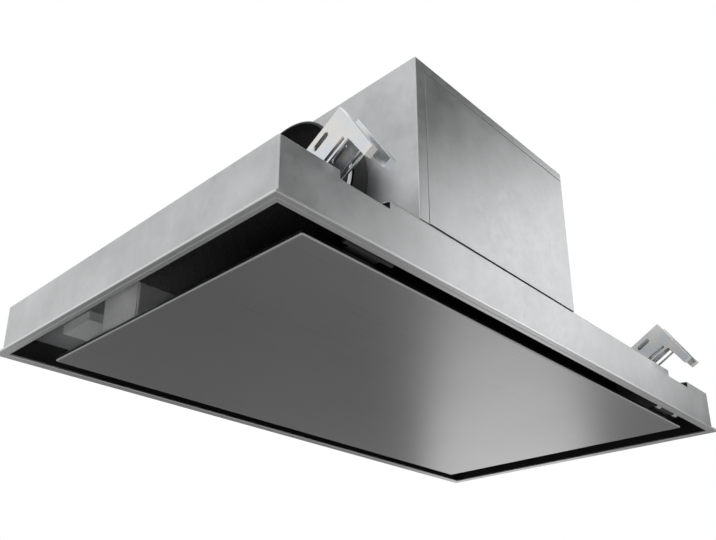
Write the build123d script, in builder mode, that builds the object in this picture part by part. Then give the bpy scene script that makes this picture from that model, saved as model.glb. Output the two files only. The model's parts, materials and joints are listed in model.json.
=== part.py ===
from build123d import *
from math import asin, cos, degrees, radians, sin
import os

os.makedirs("parts", exist_ok=True)

# Ceiling range hood, in millimetres. +Z is up, the long side lies along X, and Z = 0 is the
# underside of the trim flange. "Front" is the -Y side, "left" is the -X side.

# ---------------------------------------------------------------- driving dimensions

# Sheet metal and clearances
sheet = 1.2  # galvanised sheet of the tray and fan box
liner_sheet = 1.0  # thinner sheet of the liner, wells and covers
running_clearance = 0.05  # radial, at every turning pin
part_gap = 0.3  # between pieces that move past each other
seam = 1.0  # visible joint between two outer sheets

# Trim flange and tray
flange_length = 900.0
flange_width = 500.0
flange_thickness = 2.5
flange_overhang = 6.0  # from the tray wall to the flange's outer edge
rim_width = 12.0  # flange seen from below
groove_inset = 5.5  # from the flange's outer edge to the groove in its underside
groove_width = 1.0
groove_depth = 0.6
tray_height = 62.5  # top of the tray above the flange's underside
tray_bend = 2.0
liner_height = 30.0
mat_thickness = 4.0

# Bracket notches in the tray's long walls
notch_end = 106.0  # from the middle of a notch to the end of the tray
notch_width = 69.0
notch_depth = 10.0
notch_reach = 62.0  # how far the cut-out runs inward over the top plate
notch_taper = 5.0  # the cut-out narrows by this much on each side
notch_taper_reach = 14.0
well_depth = 13.2  # below the tray's top

# Clamp brackets
bracket_sheet = 2.0
bracket_channel = 27.0  # over both side plates
bracket_lip = 8.0  # width of the lips, side plate included
leg_rise = 30.0  # degrees, leg above the horizontal as it stands
leg_reach = 84.0  # from the pivot out to the outer corner
leg_width = 40.0
arm_length = 75.0  # from the outer corner to the foot pad
arm_width = 10.9
arm_splay = 3.0  # the arm leans out by this much at its foot
pivot_inset = 66.7  # from the tray's wall in to the pivot
pivot_lift = 8.6  # pivot above the tray's top
foot_round = 8.0  # round end of the leg about its pivot
bracket_pin_radius = 3.0
slot_length = 22.0
slot_width = 7.0
groove_slot_length = 44.0
groove_slot_width = 5.0
seat_sheet = 2.0
bracket_shift = 9.0  # from the middle of the notch to the middle of the bracket

# Panel under the tray
panel_end_gap = 47.0  # suction gap between the flange and the panel, at the short sides
panel_side_gap = 21.0  # the same at the long sides
panel_sheet = 1.2
panel_hem = 4.5
panel_corner = 3.0
panel_rise = 0.3  # above the flange's underside
carrier_inset = 26.0  # from the panel's edge in to the carrier
carrier_height = 13.5
bead_count = 5
bead_width = 16.0
bead_height = 1.0

# Panel hinges and magnet catches
hinge_inset = 74.0  # from the end of the panel to the middle of a hinge
hinge_leaf_length = 66.0
hinge_sheet = 2.0
hinge_pin_radius = 2.0
knuckle_radius = 4.0
knuckle_length = 12.0
hinge_pin_inset = 14.8  # from the liner in to the hinge pin
hinge_pin_z = 9.0
hinge_screw_radius = 3.0
catch_inset = 60.0  # from the end of the filter housing to the middle of a catch
catch_length = 30.0
catch_width = 20.0
catch_height = 23.0
strike_sheet = 1.5

# Filter housing and grease filters
housing_length = 600.0
housing_width = 330.0
housing_bottom = 30.0
front_ledge = 6.0
rear_lip_height = 4.2
divider = 2.0  # rail between the two filters
filter_thickness = 9.0
filter_bar = 12.0
filter_rear_bar = 26.0
filter_rear_gap = 7.0
mesh_thickness = 5.0
mesh_columns = 7
mesh_rows = 6
mesh_hole = 16.0  # half diagonal of a mesh opening
latch_width = 38.0
latch_depth = 12.0
latch_travel = 6.0
bolt_width = 18.0
bolt_thickness = 3.0
bolt_reach = 5.0
grip_drop = 5.0

# Electronics box
electronics_length = 71.0
electronics_width = 75.0
electronics_gap = 5.5  # beside the filter housing
electronics_inset = 101.8  # from the tray's rear wall
electronics_bottom = 18.0
electronics_seam = 42.0  # width of the cover's folded side
board_thickness = 1.6
board_margin = 6.0
standoff_height = 5.0
standoff_width = 5.0
transformer_length = 26.0
transformer_width = 22.0
relay_length = 12.0
relay_width = 28.0
component_height = 18.0
terminal_length = 46.0
terminal_width = 9.0
terminal_height = 9.0

# Fan box
box_inset = 183.0  # from the tray's left wall to the box
box_length = 298.5
box_depth = 340.0
box_height = 199.5  # above the tray's top
box_bend = 1.5
box_top_strip = 11.0
box_left_strip = 15.0
box_rear_strip = 15.0
tongue_reach = 8.0
screw_radius = 3.5
screw_head = 1.8
slot_span = 4.4  # of the slot across a screw's head

# Fan
fan_from_left = 149.0  # from the box's left face
fan_from_front = 215.0
volute_step = 18.0
volute_radius = 104.0
inlet_radius = 86.0
throat_radius = 72.0
scroll_sheet = 1.2
impeller_radius = 82.0
impeller_eye = 74.2
impeller_bottom = 74.0
impeller_top = 184.0
blade_root = 68.0
blade_count = 30
blade_thickness = 1.2
blade_belly = 1.4  # how far the blade bows out at its middle
blade_sweep = 6.0  # how far the tip leads the root
hub_bottom = 158.0
hub_radius = 12.0
shaft_radius = 4.0
shaft_bottom = 154.0
motor_radius = 42.0
motor_clearance = 6.0  # round the motor in the scroll's lid
motor_bottom = 187.0
motor_top = 250.0
motor_flange_radius = 54.0
mount_ring_radius = 60.0
mount_arm_reach = 78.0  # to the middle of a grommet
mount_arm_width = 16.0
grommet_radius = 8.0
grommet_height = 6.0
capacitor_radius = 14.0
capacitor_length = 62.0

# Outlet collar and its flaps
collar_from_front = 146.0
collar_lift = 80.0  # duct's axis above the tray's top
collar_bore = 72.0
collar_base_radius = 77.5
collar_base_length = 21.0
collar_groove_length = 2.5
collar_groove_radius = 73.8
spigot_radius = 75.0
collar_length = 50.0
collar_tail = 7.0  # reaches back through the box wall
band_radius = 76.6
band_seat_radius = 74.0
band_width = 4.5
flap_axle_offset = 3.0  # in front of the box's left face
flap_axle_radius = 1.5
flap_radius = 71.3
flap_thickness = 1.6
flap_barrel_radius = 3.0

# Cable gland
gland_from_right = 27.5
gland_lift = 35.3  # above the tray's top
gland_thread_radius = 6.0
gland_nut_radius = 10.5
gland_bore = 3.5

# ---------------------------------------------------------------- worked-out places

tray_length = flange_length - 2 * flange_overhang
tray_width = flange_width - 2 * flange_overhang
tray_inner_length = tray_length - 2 * sheet
tray_inner_width = tray_width - 2 * sheet
deck = tray_height - sheet  # underside of the tray's top plate
opening_length = flange_length - 2 * rim_width
opening_width = flange_width - 2 * rim_width

panel_length = opening_length - 2 * panel_end_gap
panel_width = opening_width - 2 * panel_side_gap
carrier_length = panel_length - 2 * carrier_inset
carrier_width = panel_width - 2 * carrier_inset

box_left = box_inset - tray_length / 2
box_right = box_left + box_length
box_front = -tray_width / 2
box_back = box_front + box_depth
box_top = tray_height + box_height
box_x = (box_left + box_right) / 2
box_y = (box_front + box_back) / 2
fan_x = box_left + fan_from_left
fan_y = box_front + fan_from_front
collar_y = box_front + collar_from_front
collar_z = tray_height + collar_lift
gland_x = box_right - gland_from_right
gland_z = tray_height + gland_lift

# Each corner's bracket: its name, its half turn about Z, and its notch seen after that turn
notch_x = tray_length / 2 - notch_end
corners = (
    ("front_left", 1, -notch_x),
    ("front_right", 1, notch_x),
    ("rear_right", -1, -notch_x),
    ("rear_left", -1, notch_x),
)
notches = [(turn * x, -turn * tray_width / 2, turn) for _, turn, x in corners]
bracket_span = bracket_channel - bracket_sheet + bracket_lip
bracket_start = bracket_shift + bracket_span / 2
pivot_y = tray_width / 2 - pivot_inset
pivot_z = tray_height + pivot_lift
leg_low = foot_round  # lower edge of the leg below the pivot's line
leg_high = leg_low - leg_width  # upper edge, above that line
fan_plane = Plane(origin=(fan_x, fan_y, 0))


def side_plane(turn, x, along=0.0):
    """Side plane of a bracket, origin on its pivot: local x out along the leg, local y down."""
    rise = radians(leg_rise)
    return Plane(
        origin=(turn * (x - bracket_start + along), -turn * pivot_y, pivot_z),
        x_dir=(0, -turn * cos(rise), sin(rise)),
        z_dir=(turn, 0, 0),
    )


def upright_plane(turn, x, along=0.0):
    """The same plane without the leg's slope: local x out, local y down."""
    return Plane(
        origin=(turn * (x - bracket_start + along), -turn * pivot_y, pivot_z),
        x_dir=(0, -turn, 0),
        z_dir=(turn, 0, 0),
    )


# ---------------------------------------------------------------- trim flange and tray

with BuildPart() as trim_frame:
    with BuildSketch():
        Rectangle(flange_length, flange_width)
        Rectangle(opening_length, opening_width, mode=Mode.SUBTRACT)
    extrude(amount=flange_thickness)
    chamfer(trim_frame.edges().group_by(Axis.Z)[0], length=0.5)
    with BuildSketch():
        groove_length = flange_length - 2 * groove_inset
        groove_span = flange_width - 2 * groove_inset
        Rectangle(groove_length, groove_span)
        Rectangle(
            groove_length - 2 * groove_width,
            groove_span - 2 * groove_width,
            mode=Mode.SUBTRACT,
        )
    extrude(amount=groove_depth, mode=Mode.SUBTRACT)
trim_frame.part.label = "trim_frame"
export_step(trim_frame.part, "parts/trim_frame.step")

with BuildPart() as body_tray:
    with BuildSketch(Plane.XY.offset(flange_thickness)):
        Rectangle(tray_length, tray_width)
    extrude(amount=tray_height - flange_thickness)
    fillet(body_tray.edges().filter_by(Axis.Z), radius=tray_bend)
    fillet(body_tray.edges().group_by(Axis.Z)[-1], radius=tray_bend)
    offset(amount=-sheet, openings=body_tray.faces().sort_by(Axis.Z)[0])
    # Notches for the brackets: wide at the wall, a little narrower over the top plate
    with BuildSketch(Plane.XY.offset(tray_height)):
        for x, y, turn in notches:
            half = notch_width / 2
            outer, inner = y - turn * sheet, y + turn * notch_reach
            bend = y + turn * notch_taper_reach
            Polygon(
                (x - half, outer),
                (x + half, outer),
                (x + half - notch_taper, bend),
                (x + half - notch_taper, inner),
                (x - half + notch_taper, inner),
                (x - half + notch_taper, bend),
            )
    extrude(amount=-notch_depth, mode=Mode.SUBTRACT)
    # Inlet of the fan
    with BuildSketch(fan_plane.offset(tray_height)):
        Circle(inlet_radius)
    extrude(amount=-2 * sheet, mode=Mode.SUBTRACT)
body_tray.part.label = "body_tray"
export_step(body_tray.part, "parts/body_tray.step")

with BuildPart() as recess_liner:
    with BuildSketch(Plane.XY.offset(flange_thickness)):
        RectangleRounded(tray_inner_length, tray_inner_width, tray_bend)
        Rectangle(
            tray_inner_length - 2 * liner_sheet,
            tray_inner_width - 2 * liner_sheet,
            mode=Mode.SUBTRACT,
        )
    extrude(amount=liner_height - flange_thickness)
recess_liner.part.label = "recess_liner"
export_step(recess_liner.part, "parts/recess_liner.step")

# Shallow wells that close the notches from below, one per bracket
well_width = notch_width + 2 * liner_sheet
well_length = notch_reach + 2 * liner_sheet - sheet
well_floor = tray_height - well_depth
with BuildPart() as bracket_wells:
    with BuildSketch(Plane.XY.offset(well_floor)):
        for x, y, turn in notches:
            with Locations((x, y + turn * (sheet + well_length / 2))):
                Rectangle(well_width, well_length)
    extrude(amount=deck - well_floor)
    with BuildSketch(Plane.XY.offset(well_floor + liner_sheet)):
        for x, y, turn in notches:
            with Locations((x, y + turn * (sheet + (well_length - liner_sheet) / 2))):
                Rectangle(well_width - 2 * liner_sheet, well_length - liner_sheet)
    extrude(amount=well_depth, mode=Mode.SUBTRACT)
    top_edges = bracket_wells.edges().filter_by(Axis.X).group_by(Axis.Z)[-1]
    chamfer(
        [edge for edge in top_edges if abs(edge.center().Y) > tray_width / 2 - 2 * sheet],
        length=tray_bend - sheet,
    )
bracket_wells.part.label = "bracket_wells"
export_step(bracket_wells.part, "parts/bracket_wells.step")

# The electronics box stands in the rear left corner, beside the filter housing
electronics_x = -housing_length / 2 - electronics_gap - electronics_length / 2
electronics_y = tray_inner_width / 2 - electronics_inset - electronics_width / 2
electronics_left = electronics_x - electronics_length / 2
electronics_front = electronics_y - electronics_width / 2

# Black noise-damping mat under the top plate, left out over the electronics corner
mat_margin = 1.0
with BuildPart() as sound_mat:
    with BuildSketch(Plane.XY.offset(deck - mat_thickness)):
        Rectangle(tray_inner_length - 2 * tray_bend, tray_inner_width - 2 * tray_bend)
        Rectangle(
            housing_length + 2 * mat_margin, housing_width + 2 * mat_margin, mode=Mode.SUBTRACT
        )
        for x, y, turn in notches:
            with Locations((x, y + turn * well_length / 2)):
                Rectangle(
                    well_width + 2 * mat_margin,
                    well_length + 2 * (sheet + mat_margin),
                    mode=Mode.SUBTRACT,
                )
        corner_y = electronics_front - mat_margin
        with Locations((-housing_length / 2 - mat_margin, corner_y)):
            Rectangle(
                tray_length, tray_width, align=(Align.MAX, Align.MIN), mode=Mode.SUBTRACT
            )
    extrude(amount=mat_thickness)
sound_mat.part.label = "sound_mat"
export_step(sound_mat.part, "parts/sound_mat.step")

# ---------------------------------------------------------------- clamp brackets

arm_inner = leg_reach - arm_width
arm_foot = leg_high + arm_length
slot_middle = leg_reach - 35.0
slot_line = leg_high + 1.5 * slot_width


def clamp_bracket(name, turn, x):
    """A folded bracket: two slotted side plates, a web on the leg, lips and foot pads."""
    side_plates = (0.0, bracket_channel - bracket_sheet)
    with BuildPart() as bracket:
        for along in side_plates:
            with BuildSketch(side_plane(turn, x, along)):
                Polygon(
                    (0, leg_low),
                    (arm_inner, leg_low),
                    (arm_inner + arm_splay, arm_foot),
                    (leg_reach + arm_splay, arm_foot),
                    (leg_reach, leg_high),
                    (leg_width * 0.62, leg_high),
                    (-foot_round * 0.5, -foot_round * 0.87),
                )
                Circle(foot_round)
                Circle(bracket_pin_radius + running_clearance, mode=Mode.SUBTRACT)
                with Locations((slot_middle, slot_line)):
                    SlotOverall(slot_length, slot_width, mode=Mode.SUBTRACT)
                with Locations((slot_middle - 1.0, leg_low - groove_slot_width)):
                    Rectangle(groove_slot_length, groove_slot_width, mode=Mode.SUBTRACT)
            extrude(amount=bracket_sheet)
            # Lip along the arm's outer edge, and the pad at its foot
            with BuildSketch(side_plane(turn, x, along)):
                Polygon(
                    (leg_reach - bracket_sheet, leg_high),
                    (leg_reach, leg_high),
                    (leg_reach + arm_splay, arm_foot),
                    (leg_reach + arm_splay - bracket_sheet, arm_foot),
                )
                Polygon(
                    (arm_inner + arm_splay, arm_foot - bracket_sheet),
                    (leg_reach + arm_splay, arm_foot - bracket_sheet),
                    (leg_reach + arm_splay, arm_foot),
                    (arm_inner + arm_splay, arm_foot),
                )
            extrude(amount=bracket_lip)
        # Web that joins the side plates along the leg's upper edge
        with BuildSketch(side_plane(turn, x)):
            Polygon(
                (leg_width * 0.7, leg_high),
                (arm_inner, leg_high),
                (arm_inner, leg_high + bracket_sheet),
                (leg_width * 0.7, leg_high + bracket_sheet),
            )
        extrude(amount=bracket_channel)
    bracket.part.label = name
    return bracket.part


for corner, turn, x in corners:
    name = f"clamp_bracket_{corner}"
    export_step(clamp_bracket(name, turn, x), f"parts/{name}.step")

# Seats on the tray's top: a foot plate and two ears between the bracket's side plates
ear_start = bracket_sheet + part_gap
ear_span = bracket_channel - 2 * ear_start
ear_radius = foot_round - 1.0
seat_length = 24.0
with BuildPart() as bracket_seats:
    for _, turn, x in corners:
        with BuildSketch(upright_plane(turn, x, ear_start)):
            with Locations((-seat_length / 2, pivot_lift - seat_sheet / 2)):
                Rectangle(seat_length, seat_sheet)
        extrude(amount=ear_span)
        for along in (ear_start, bracket_channel - ear_start - seat_sheet):
            with BuildSketch(upright_plane(turn, x, along)):
                Polygon(
                    (-seat_length, pivot_lift),
                    (0, pivot_lift),
                    (ear_radius, 0),
                    (0, -ear_radius),
                    (-seat_length, pivot_lift - 2 * seat_sheet),
                )
                Circle(ear_radius)
                Circle(bracket_pin_radius, mode=Mode.SUBTRACT)
            extrude(amount=seat_sheet)
bracket_seats.part.label = "bracket_seats"
export_step(bracket_seats.part, "parts/bracket_seats.step")

pin_head = 1.5
with BuildPart() as bracket_pins:
    for _, turn, x in corners:
        with BuildSketch(side_plane(turn, x, -part_gap)):
            Circle(bracket_pin_radius)
        extrude(amount=bracket_channel + 2 * part_gap)
        for along in (-part_gap - pin_head, bracket_channel + part_gap):
            with BuildSketch(side_plane(turn, x, along)):
                Circle(bracket_pin_radius + pin_head)
            extrude(amount=pin_head)
bracket_pins.part.label = "bracket_pins"
export_step(bracket_pins.part, "parts/bracket_pins.step")

# ---------------------------------------------------------------- panel and its carrier

with BuildPart() as panel_skin:
    with BuildSketch(Plane.XY.offset(panel_rise)):
        Rectangle(panel_length, panel_width)
    extrude(amount=panel_hem)
    fillet(panel_skin.edges().filter_by(Axis.Z), radius=panel_corner)
    fillet(panel_skin.edges().group_by(Axis.Z)[0], radius=1.6)
    offset(amount=-panel_sheet, openings=panel_skin.faces().sort_by(Axis.Z)[-1])
panel_skin.part.label = "panel_skin"
export_step(panel_skin.part, "parts/panel_skin.step")

carrier_bottom = panel_rise + panel_sheet
carrier_top = carrier_bottom + carrier_height
with BuildPart() as panel_carrier:
    with BuildSketch(Plane.XY.offset(carrier_bottom)):
        RectangleRounded(carrier_length, carrier_width, 6)
    extrude(amount=carrier_height)
    chamfer(panel_carrier.edges().group_by(Axis.Z)[-1], length=2.5)
    offset(amount=-liner_sheet, openings=panel_carrier.faces().sort_by(Axis.Z)[0])
    # Raised stiffening beads along the top
    with BuildSketch(Plane.XY.offset(carrier_top)):
        with GridLocations(0, carrier_width / (bead_count + 1), 1, bead_count):
            SlotOverall(carrier_length * 0.86, bead_width)
    extrude(amount=bead_height, taper=45)
panel_carrier.part.label = "panel_carrier"
export_step(panel_carrier.part, "parts/panel_carrier.step")

# ---------------------------------------------------------------- panel hinges

# Fixed leaves stand against the liner, and reach in with a knuckle at each end
liner_face = -tray_inner_width / 2 + liner_sheet
hinge_pin_y = liner_face + hinge_pin_inset
hinge_x = panel_length / 2 - hinge_inset
leaf_bottom = 5.0
leaf_top = 26.0
arm_z = hinge_pin_z - hinge_sheet / 2
knuckle_x = hinge_leaf_length / 2 - knuckle_length
hinge_sides = (-hinge_x, hinge_x)
with BuildPart() as hinge_frame_leaves:
    with BuildSketch(Plane.XY.offset(leaf_bottom)):
        with Locations([(x, liner_face) for x in hinge_sides]):
            Rectangle(hinge_leaf_length, hinge_sheet, align=(Align.CENTER, Align.MIN))
    extrude(amount=leaf_top - leaf_bottom)
    for start in [side + end for side in hinge_sides for end in (-hinge_leaf_length / 2, knuckle_x)]:
        with BuildSketch(Plane.YZ.offset(start)):
            with Locations((liner_face, hinge_pin_z)):
                Rectangle(
                    hinge_pin_y - liner_face, hinge_sheet, align=(Align.MIN, Align.CENTER)
                )
            with Locations((hinge_pin_y, hinge_pin_z)):
                Circle(knuckle_radius)
                Circle(hinge_pin_radius, mode=Mode.SUBTRACT)
        extrude(amount=knuckle_length)
hinge_frame_leaves.part.label = "hinge_frame_leaves"
export_step(hinge_frame_leaves.part, "parts/hinge_frame_leaves.step")

# Moving leaves: one wide knuckle, an arm over the panel's hem and a tab on the carrier
moving_knuckle = 2 * (knuckle_x - part_gap)
carrier_face = -carrier_width / 2
with BuildPart() as hinge_panel_leaves:
    for side in hinge_sides:
        with BuildSketch(Plane.YZ.offset(side - moving_knuckle / 2)):
            with Locations((hinge_pin_y, hinge_pin_z)):
                Rectangle(
                    carrier_face - hinge_pin_y, hinge_sheet, align=(Align.MIN, Align.CENTER)
                )
                Circle(knuckle_radius)
                Circle(hinge_pin_radius + running_clearance, mode=Mode.SUBTRACT)
            with Locations((carrier_face, carrier_bottom + panel_hem)):
                Rectangle(
                    hinge_sheet, hinge_pin_z - carrier_bottom - panel_hem + hinge_sheet / 2,
                    align=(Align.MAX, Align.MIN),
                )
        extrude(amount=moving_knuckle)
hinge_panel_leaves.part.label = "hinge_panel_leaves"
export_step(hinge_panel_leaves.part, "parts/hinge_panel_leaves.step")

with BuildPart() as hinge_pins:
    for side in hinge_sides:
        with BuildSketch(Plane.YZ.offset(side - hinge_leaf_length / 2)):
            with Locations((hinge_pin_y, hinge_pin_z)):
                Circle(hinge_pin_radius)
        extrude(amount=hinge_leaf_length)
hinge_pins.part.label = "hinge_pins"
export_step(hinge_pins.part, "parts/hinge_pins.step")

screw_spacing = 40.0
with BuildPart() as hinge_screws:
    with BuildSketch(Plane.XZ.offset(-liner_face - hinge_sheet)):
        for side in hinge_sides:
            with Locations((side, (leaf_top + hinge_pin_z) / 2 + 1.0)):
                with GridLocations(screw_spacing, 0, 2, 1):
                    Circle(hinge_screw_radius)
    extrude(amount=-1.2)
    chamfer(hinge_screws.edges().group_by(Axis.Y)[-1], length=0.6)
hinge_screws.part.label = "hinge_screws"
export_step(hinge_screws.part, "parts/hinge_screws.step")

# ---------------------------------------------------------------- magnet catches

housing_rear = housing_width / 2
catch_x = housing_length / 2 - catch_inset
strike_top = carrier_top + strike_sheet
catch_y = housing_rear + catch_width / 2
with BuildPart() as catch_plates:
    with BuildSketch(Plane.XY.offset(carrier_top)):
        with Locations((-catch_x, catch_y), (catch_x, catch_y)):
            Rectangle(catch_length + 8, catch_width - 4)
    extrude(amount=strike_sheet)
    fillet(catch_plates.edges().filter_by(Axis.Z), radius=2)
catch_plates.part.label = "catch_plates"
export_step(catch_plates.part, "parts/catch_plates.step")

with BuildPart() as catch_magnets:
    with BuildSketch(Plane.XY.offset(strike_top + part_gap)):
        with Locations((-catch_x, catch_y), (catch_x, catch_y)):
            Rectangle(catch_length, catch_width)
    extrude(amount=catch_height)
    fillet(catch_magnets.edges().filter_by(Axis.Z), radius=2)
catch_magnets.part.label = "catch_magnets"
export_step(catch_magnets.part, "parts/catch_magnets.step")

# ---------------------------------------------------------------- filter housing and filters

ledge_top = housing_bottom + sheet
rear_lip_bottom = housing_bottom + rear_lip_height - sheet
rear_lip_top = rear_lip_bottom + sheet
inner_rear = housing_rear - sheet
filter_bottom = ledge_top + part_gap
filter_top = filter_bottom + filter_thickness
with BuildPart() as filter_housing:
    with BuildSketch(Plane.XY.offset(housing_bottom)):
        Rectangle(housing_length, housing_width)
        Rectangle(housing_length - 2 * sheet, housing_width - 2 * sheet, mode=Mode.SUBTRACT)
    extrude(amount=deck - housing_bottom)
    # Low rail between the two filters
    with BuildSketch(Plane.XY.offset(housing_bottom)):
        Rectangle(divider, housing_width)
    extrude(amount=filter_top - housing_bottom)
    with BuildSketch(Plane.XY.offset(housing_bottom)):
        with Locations((0, -inner_rear)):
            Rectangle(housing_length, front_ledge, align=(Align.CENTER, Align.MIN))
    extrude(amount=sheet)
    with BuildSketch(Plane.XY.offset(rear_lip_bottom)):
        with Locations((0, inner_rear)):
            Rectangle(housing_length, front_ledge, align=(Align.CENTER, Align.MAX))
    extrude(amount=sheet)
filter_housing.part.label = "filter_housing"
export_step(filter_housing.part, "parts/filter_housing.step")

filter_inside = divider / 2 + part_gap
filter_outside = housing_length / 2 - sheet - part_gap
filter_length = filter_outside - filter_inside
filter_front = -inner_rear + part_gap
filter_rear = inner_rear - filter_rear_gap
filter_width = filter_rear - filter_front
window_front = filter_front + filter_bar
window_width = filter_rear - filter_rear_bar - window_front
window_length = filter_length - 2 * filter_bar
pocket_rear = filter_rear - 4.0
pocket_depth = latch_depth + latch_travel + 2 * part_gap
bolt_bottom = rear_lip_top + part_gap
mesh_bottom = filter_bottom + (filter_thickness - mesh_thickness) / 2


def filter_frame(name, middle):
    """Aluminium frame of a grease filter, with a pocket for the latch in its rear bar."""
    with BuildPart() as frame:
        with BuildSketch(Plane.XY.offset(filter_bottom)):
            with Locations((middle, filter_front)):
                Rectangle(filter_length, filter_width, align=(Align.CENTER, Align.MIN))
            with Locations((middle, window_front)):
                Rectangle(
                    window_length, window_width, align=(Align.CENTER, Align.MIN), mode=Mode.SUBTRACT
                )
        extrude(amount=filter_thickness)
        fillet(frame.edges().filter_by(Axis.Z), radius=2.5)
        with BuildSketch(Plane.XY.offset(filter_bottom)):
            with Locations((middle, pocket_rear)):
                Rectangle(
                    latch_width + 2 * part_gap, pocket_depth, align=(Align.CENTER, Align.MAX)
                )
        extrude(amount=filter_thickness - 1.5, mode=Mode.SUBTRACT)
        with BuildSketch(Plane.XY.offset(bolt_bottom - part_gap)):
            with Locations((middle, pocket_rear)):
                Rectangle(
                    bolt_width + 2 * part_gap, 2 * filter_rear_gap, align=(Align.CENTER, Align.MIN)
                )
        extrude(amount=bolt_thickness + 2 * part_gap, mode=Mode.SUBTRACT)
    frame.part.label = name
    return frame.part


def filter_mesh(name, middle):
    """Expanded-metal pad of a grease filter: staggered rows of diamond openings."""
    pitch_x = window_length / mesh_columns
    pitch_y = window_width / mesh_rows
    with BuildPart() as mesh:
        with BuildSketch(Plane.XY.offset(mesh_bottom)):
            with Locations((middle, window_front + window_width / 2)):
                RectangleRounded(window_length, window_width, 2.5)
                with GridLocations(pitch_x, pitch_y, mesh_columns, mesh_rows):
                    RegularPolygon(mesh_hole, 4, mode=Mode.SUBTRACT)
        extrude(amount=mesh_thickness)
    mesh.part.label = name
    return mesh.part


def filter_latch(name, middle):
    """Sprung latch of a grease filter: slider, bolt over the rear lip and a finger grip."""
    slider_rear = pocket_rear - part_gap
    slider_bottom = filter_bottom + part_gap
    slider_top = filter_top - 1.5 - part_gap
    with BuildPart() as latch:
        with BuildSketch(Plane.XY.offset(slider_bottom)):
            with Locations((middle, slider_rear)):
                Rectangle(latch_width, latch_depth, align=(Align.CENTER, Align.MAX))
        extrude(amount=slider_top - slider_bottom)
        with BuildSketch(Plane.XY.offset(bolt_bottom)):
            with Locations((middle, slider_rear)):
                Rectangle(
                    bolt_width,
                    filter_rear + bolt_reach - slider_rear,
                    align=(Align.CENTER, Align.MIN),
                )
        extrude(amount=bolt_thickness)
        with BuildSketch(Plane.XY.offset(slider_bottom)):
            with Locations((middle, slider_rear - latch_depth / 2)):
                SlotOverall(latch_width - 8, 4.0)
        extrude(amount=-grip_drop)
    latch.part.label = name
    return latch.part


for side, direction in (("left", -1), ("right", 1)):
    middle = direction * (filter_inside + filter_outside) / 2
    frame_name, mesh_name, latch_name = [
        f"filter_{piece}_{side}" for piece in ("frame", "mesh", "latch")
    ]
    export_step(filter_frame(frame_name, middle), f"parts/{frame_name}.step")
    export_step(filter_mesh(mesh_name, middle), f"parts/{mesh_name}.step")
    export_step(filter_latch(latch_name, middle), f"parts/{latch_name}.step")

# ---------------------------------------------------------------- electronics box

with BuildPart() as electronics_box:
    with BuildSketch(Plane.XY.offset(electronics_bottom)):
        with Locations((electronics_x, electronics_y)):
            Rectangle(electronics_length, electronics_width)
    extrude(amount=deck - electronics_bottom)
    fillet(electronics_box.edges().filter_by(Axis.Z), radius=tray_bend)
    offset(amount=-liner_sheet, openings=electronics_box.faces().sort_by(Axis.Z)[-1])
electronics_box.part.label = "electronics_box"
export_step(electronics_box.part, "parts/electronics_box.step")

# Cover: a plate below, folded up over the front part of the left face
with BuildPart() as electronics_cover:
    with BuildSketch(Plane.XY.offset(electronics_bottom)):
        with Locations((electronics_left - liner_sheet, electronics_front + tray_bend)):
            Rectangle(
                electronics_length + liner_sheet - tray_bend,
                electronics_width - 2 * tray_bend,
                align=(Align.MIN, Align.MIN),
            )
    extrude(amount=-liner_sheet)
    with BuildSketch(Plane.XY.offset(electronics_bottom - liner_sheet)):
        with Locations((electronics_left, electronics_front + tray_bend)):
            Rectangle(
                liner_sheet,
                electronics_seam - tray_bend,
                align=(Align.MAX, Align.MIN),
            )
    extrude(amount=deck - mat_thickness - electronics_bottom)
electronics_cover.part.label = "electronics_cover"
export_step(electronics_cover.part, "parts/electronics_cover.step")

board_length = electronics_length - 2 * board_margin
board_width = electronics_width - 2 * board_margin
board_bottom = electronics_bottom + liner_sheet + standoff_height
board_top = board_bottom + board_thickness
with BuildPart() as control_board:
    with BuildSketch(Plane.XY.offset(board_bottom)):
        with Locations((electronics_x, electronics_y)):
            Rectangle(board_length, board_width)
    extrude(amount=board_thickness)
    with BuildSketch(Plane.XY.offset(electronics_bottom + liner_sheet)):
        with Locations((electronics_x, electronics_y)):
            with GridLocations(
                board_length - 2 * standoff_width, board_width - 2 * standoff_width, 2, 2
            ):
                Rectangle(standoff_width, standoff_width)
    extrude(amount=standoff_height)
    # Transformer and relay at the rear, terminal strip along the front
    with BuildSketch(Plane.XY.offset(board_top)):
        with Locations((electronics_x - board_length / 2, electronics_y + board_width / 2)):
            Rectangle(transformer_length, transformer_width, align=(Align.MIN, Align.MAX))
        with Locations((electronics_x + board_length / 2, electronics_y + board_width / 2)):
            Rectangle(relay_length, relay_width, align=Align.MAX)
    extrude(amount=component_height)
    with BuildSketch(Plane.XY.offset(board_top)):
        with Locations((electronics_x, electronics_y - board_width / 2)):
            Rectangle(terminal_length, terminal_width, align=(Align.CENTER, Align.MIN))
    extrude(amount=terminal_height)
control_board.part.label = "control_board"
export_step(control_board.part, "parts/control_board.step")

# ---------------------------------------------------------------- fan box

strip_bottom = box_top - box_top_strip
tongue_bottom = strip_bottom - tongue_reach
cover_bottom = tray_height + seam
with BuildPart() as box_sheet:
    with BuildSketch(Plane.XY.offset(tray_height)):
        with Locations((box_x, box_y)):
            Rectangle(box_length, box_depth)
    extrude(amount=box_height)
    fillet(box_sheet.edges().filter_by(Axis.Z), radius=box_bend)
    fillet(box_sheet.edges().group_by(Axis.Z)[-1], radius=box_bend)
    offset(amount=-sheet, openings=box_sheet.faces().sort_by(Axis.Z)[0])
    # Open front and right side, which leaves folded strips along the top, left and rear
    with BuildSketch(Plane.XY.offset(tray_height)):
        with Locations((box_left + box_left_strip, box_front)):
            Rectangle(box_length, 2 * box_bend, align=Align.MIN)
        with Locations((box_right, box_front)):
            Rectangle(2 * box_bend, box_depth - box_rear_strip, align=(Align.MAX, Align.MIN))
    extrude(amount=strip_bottom - tray_height, mode=Mode.SUBTRACT)

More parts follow.
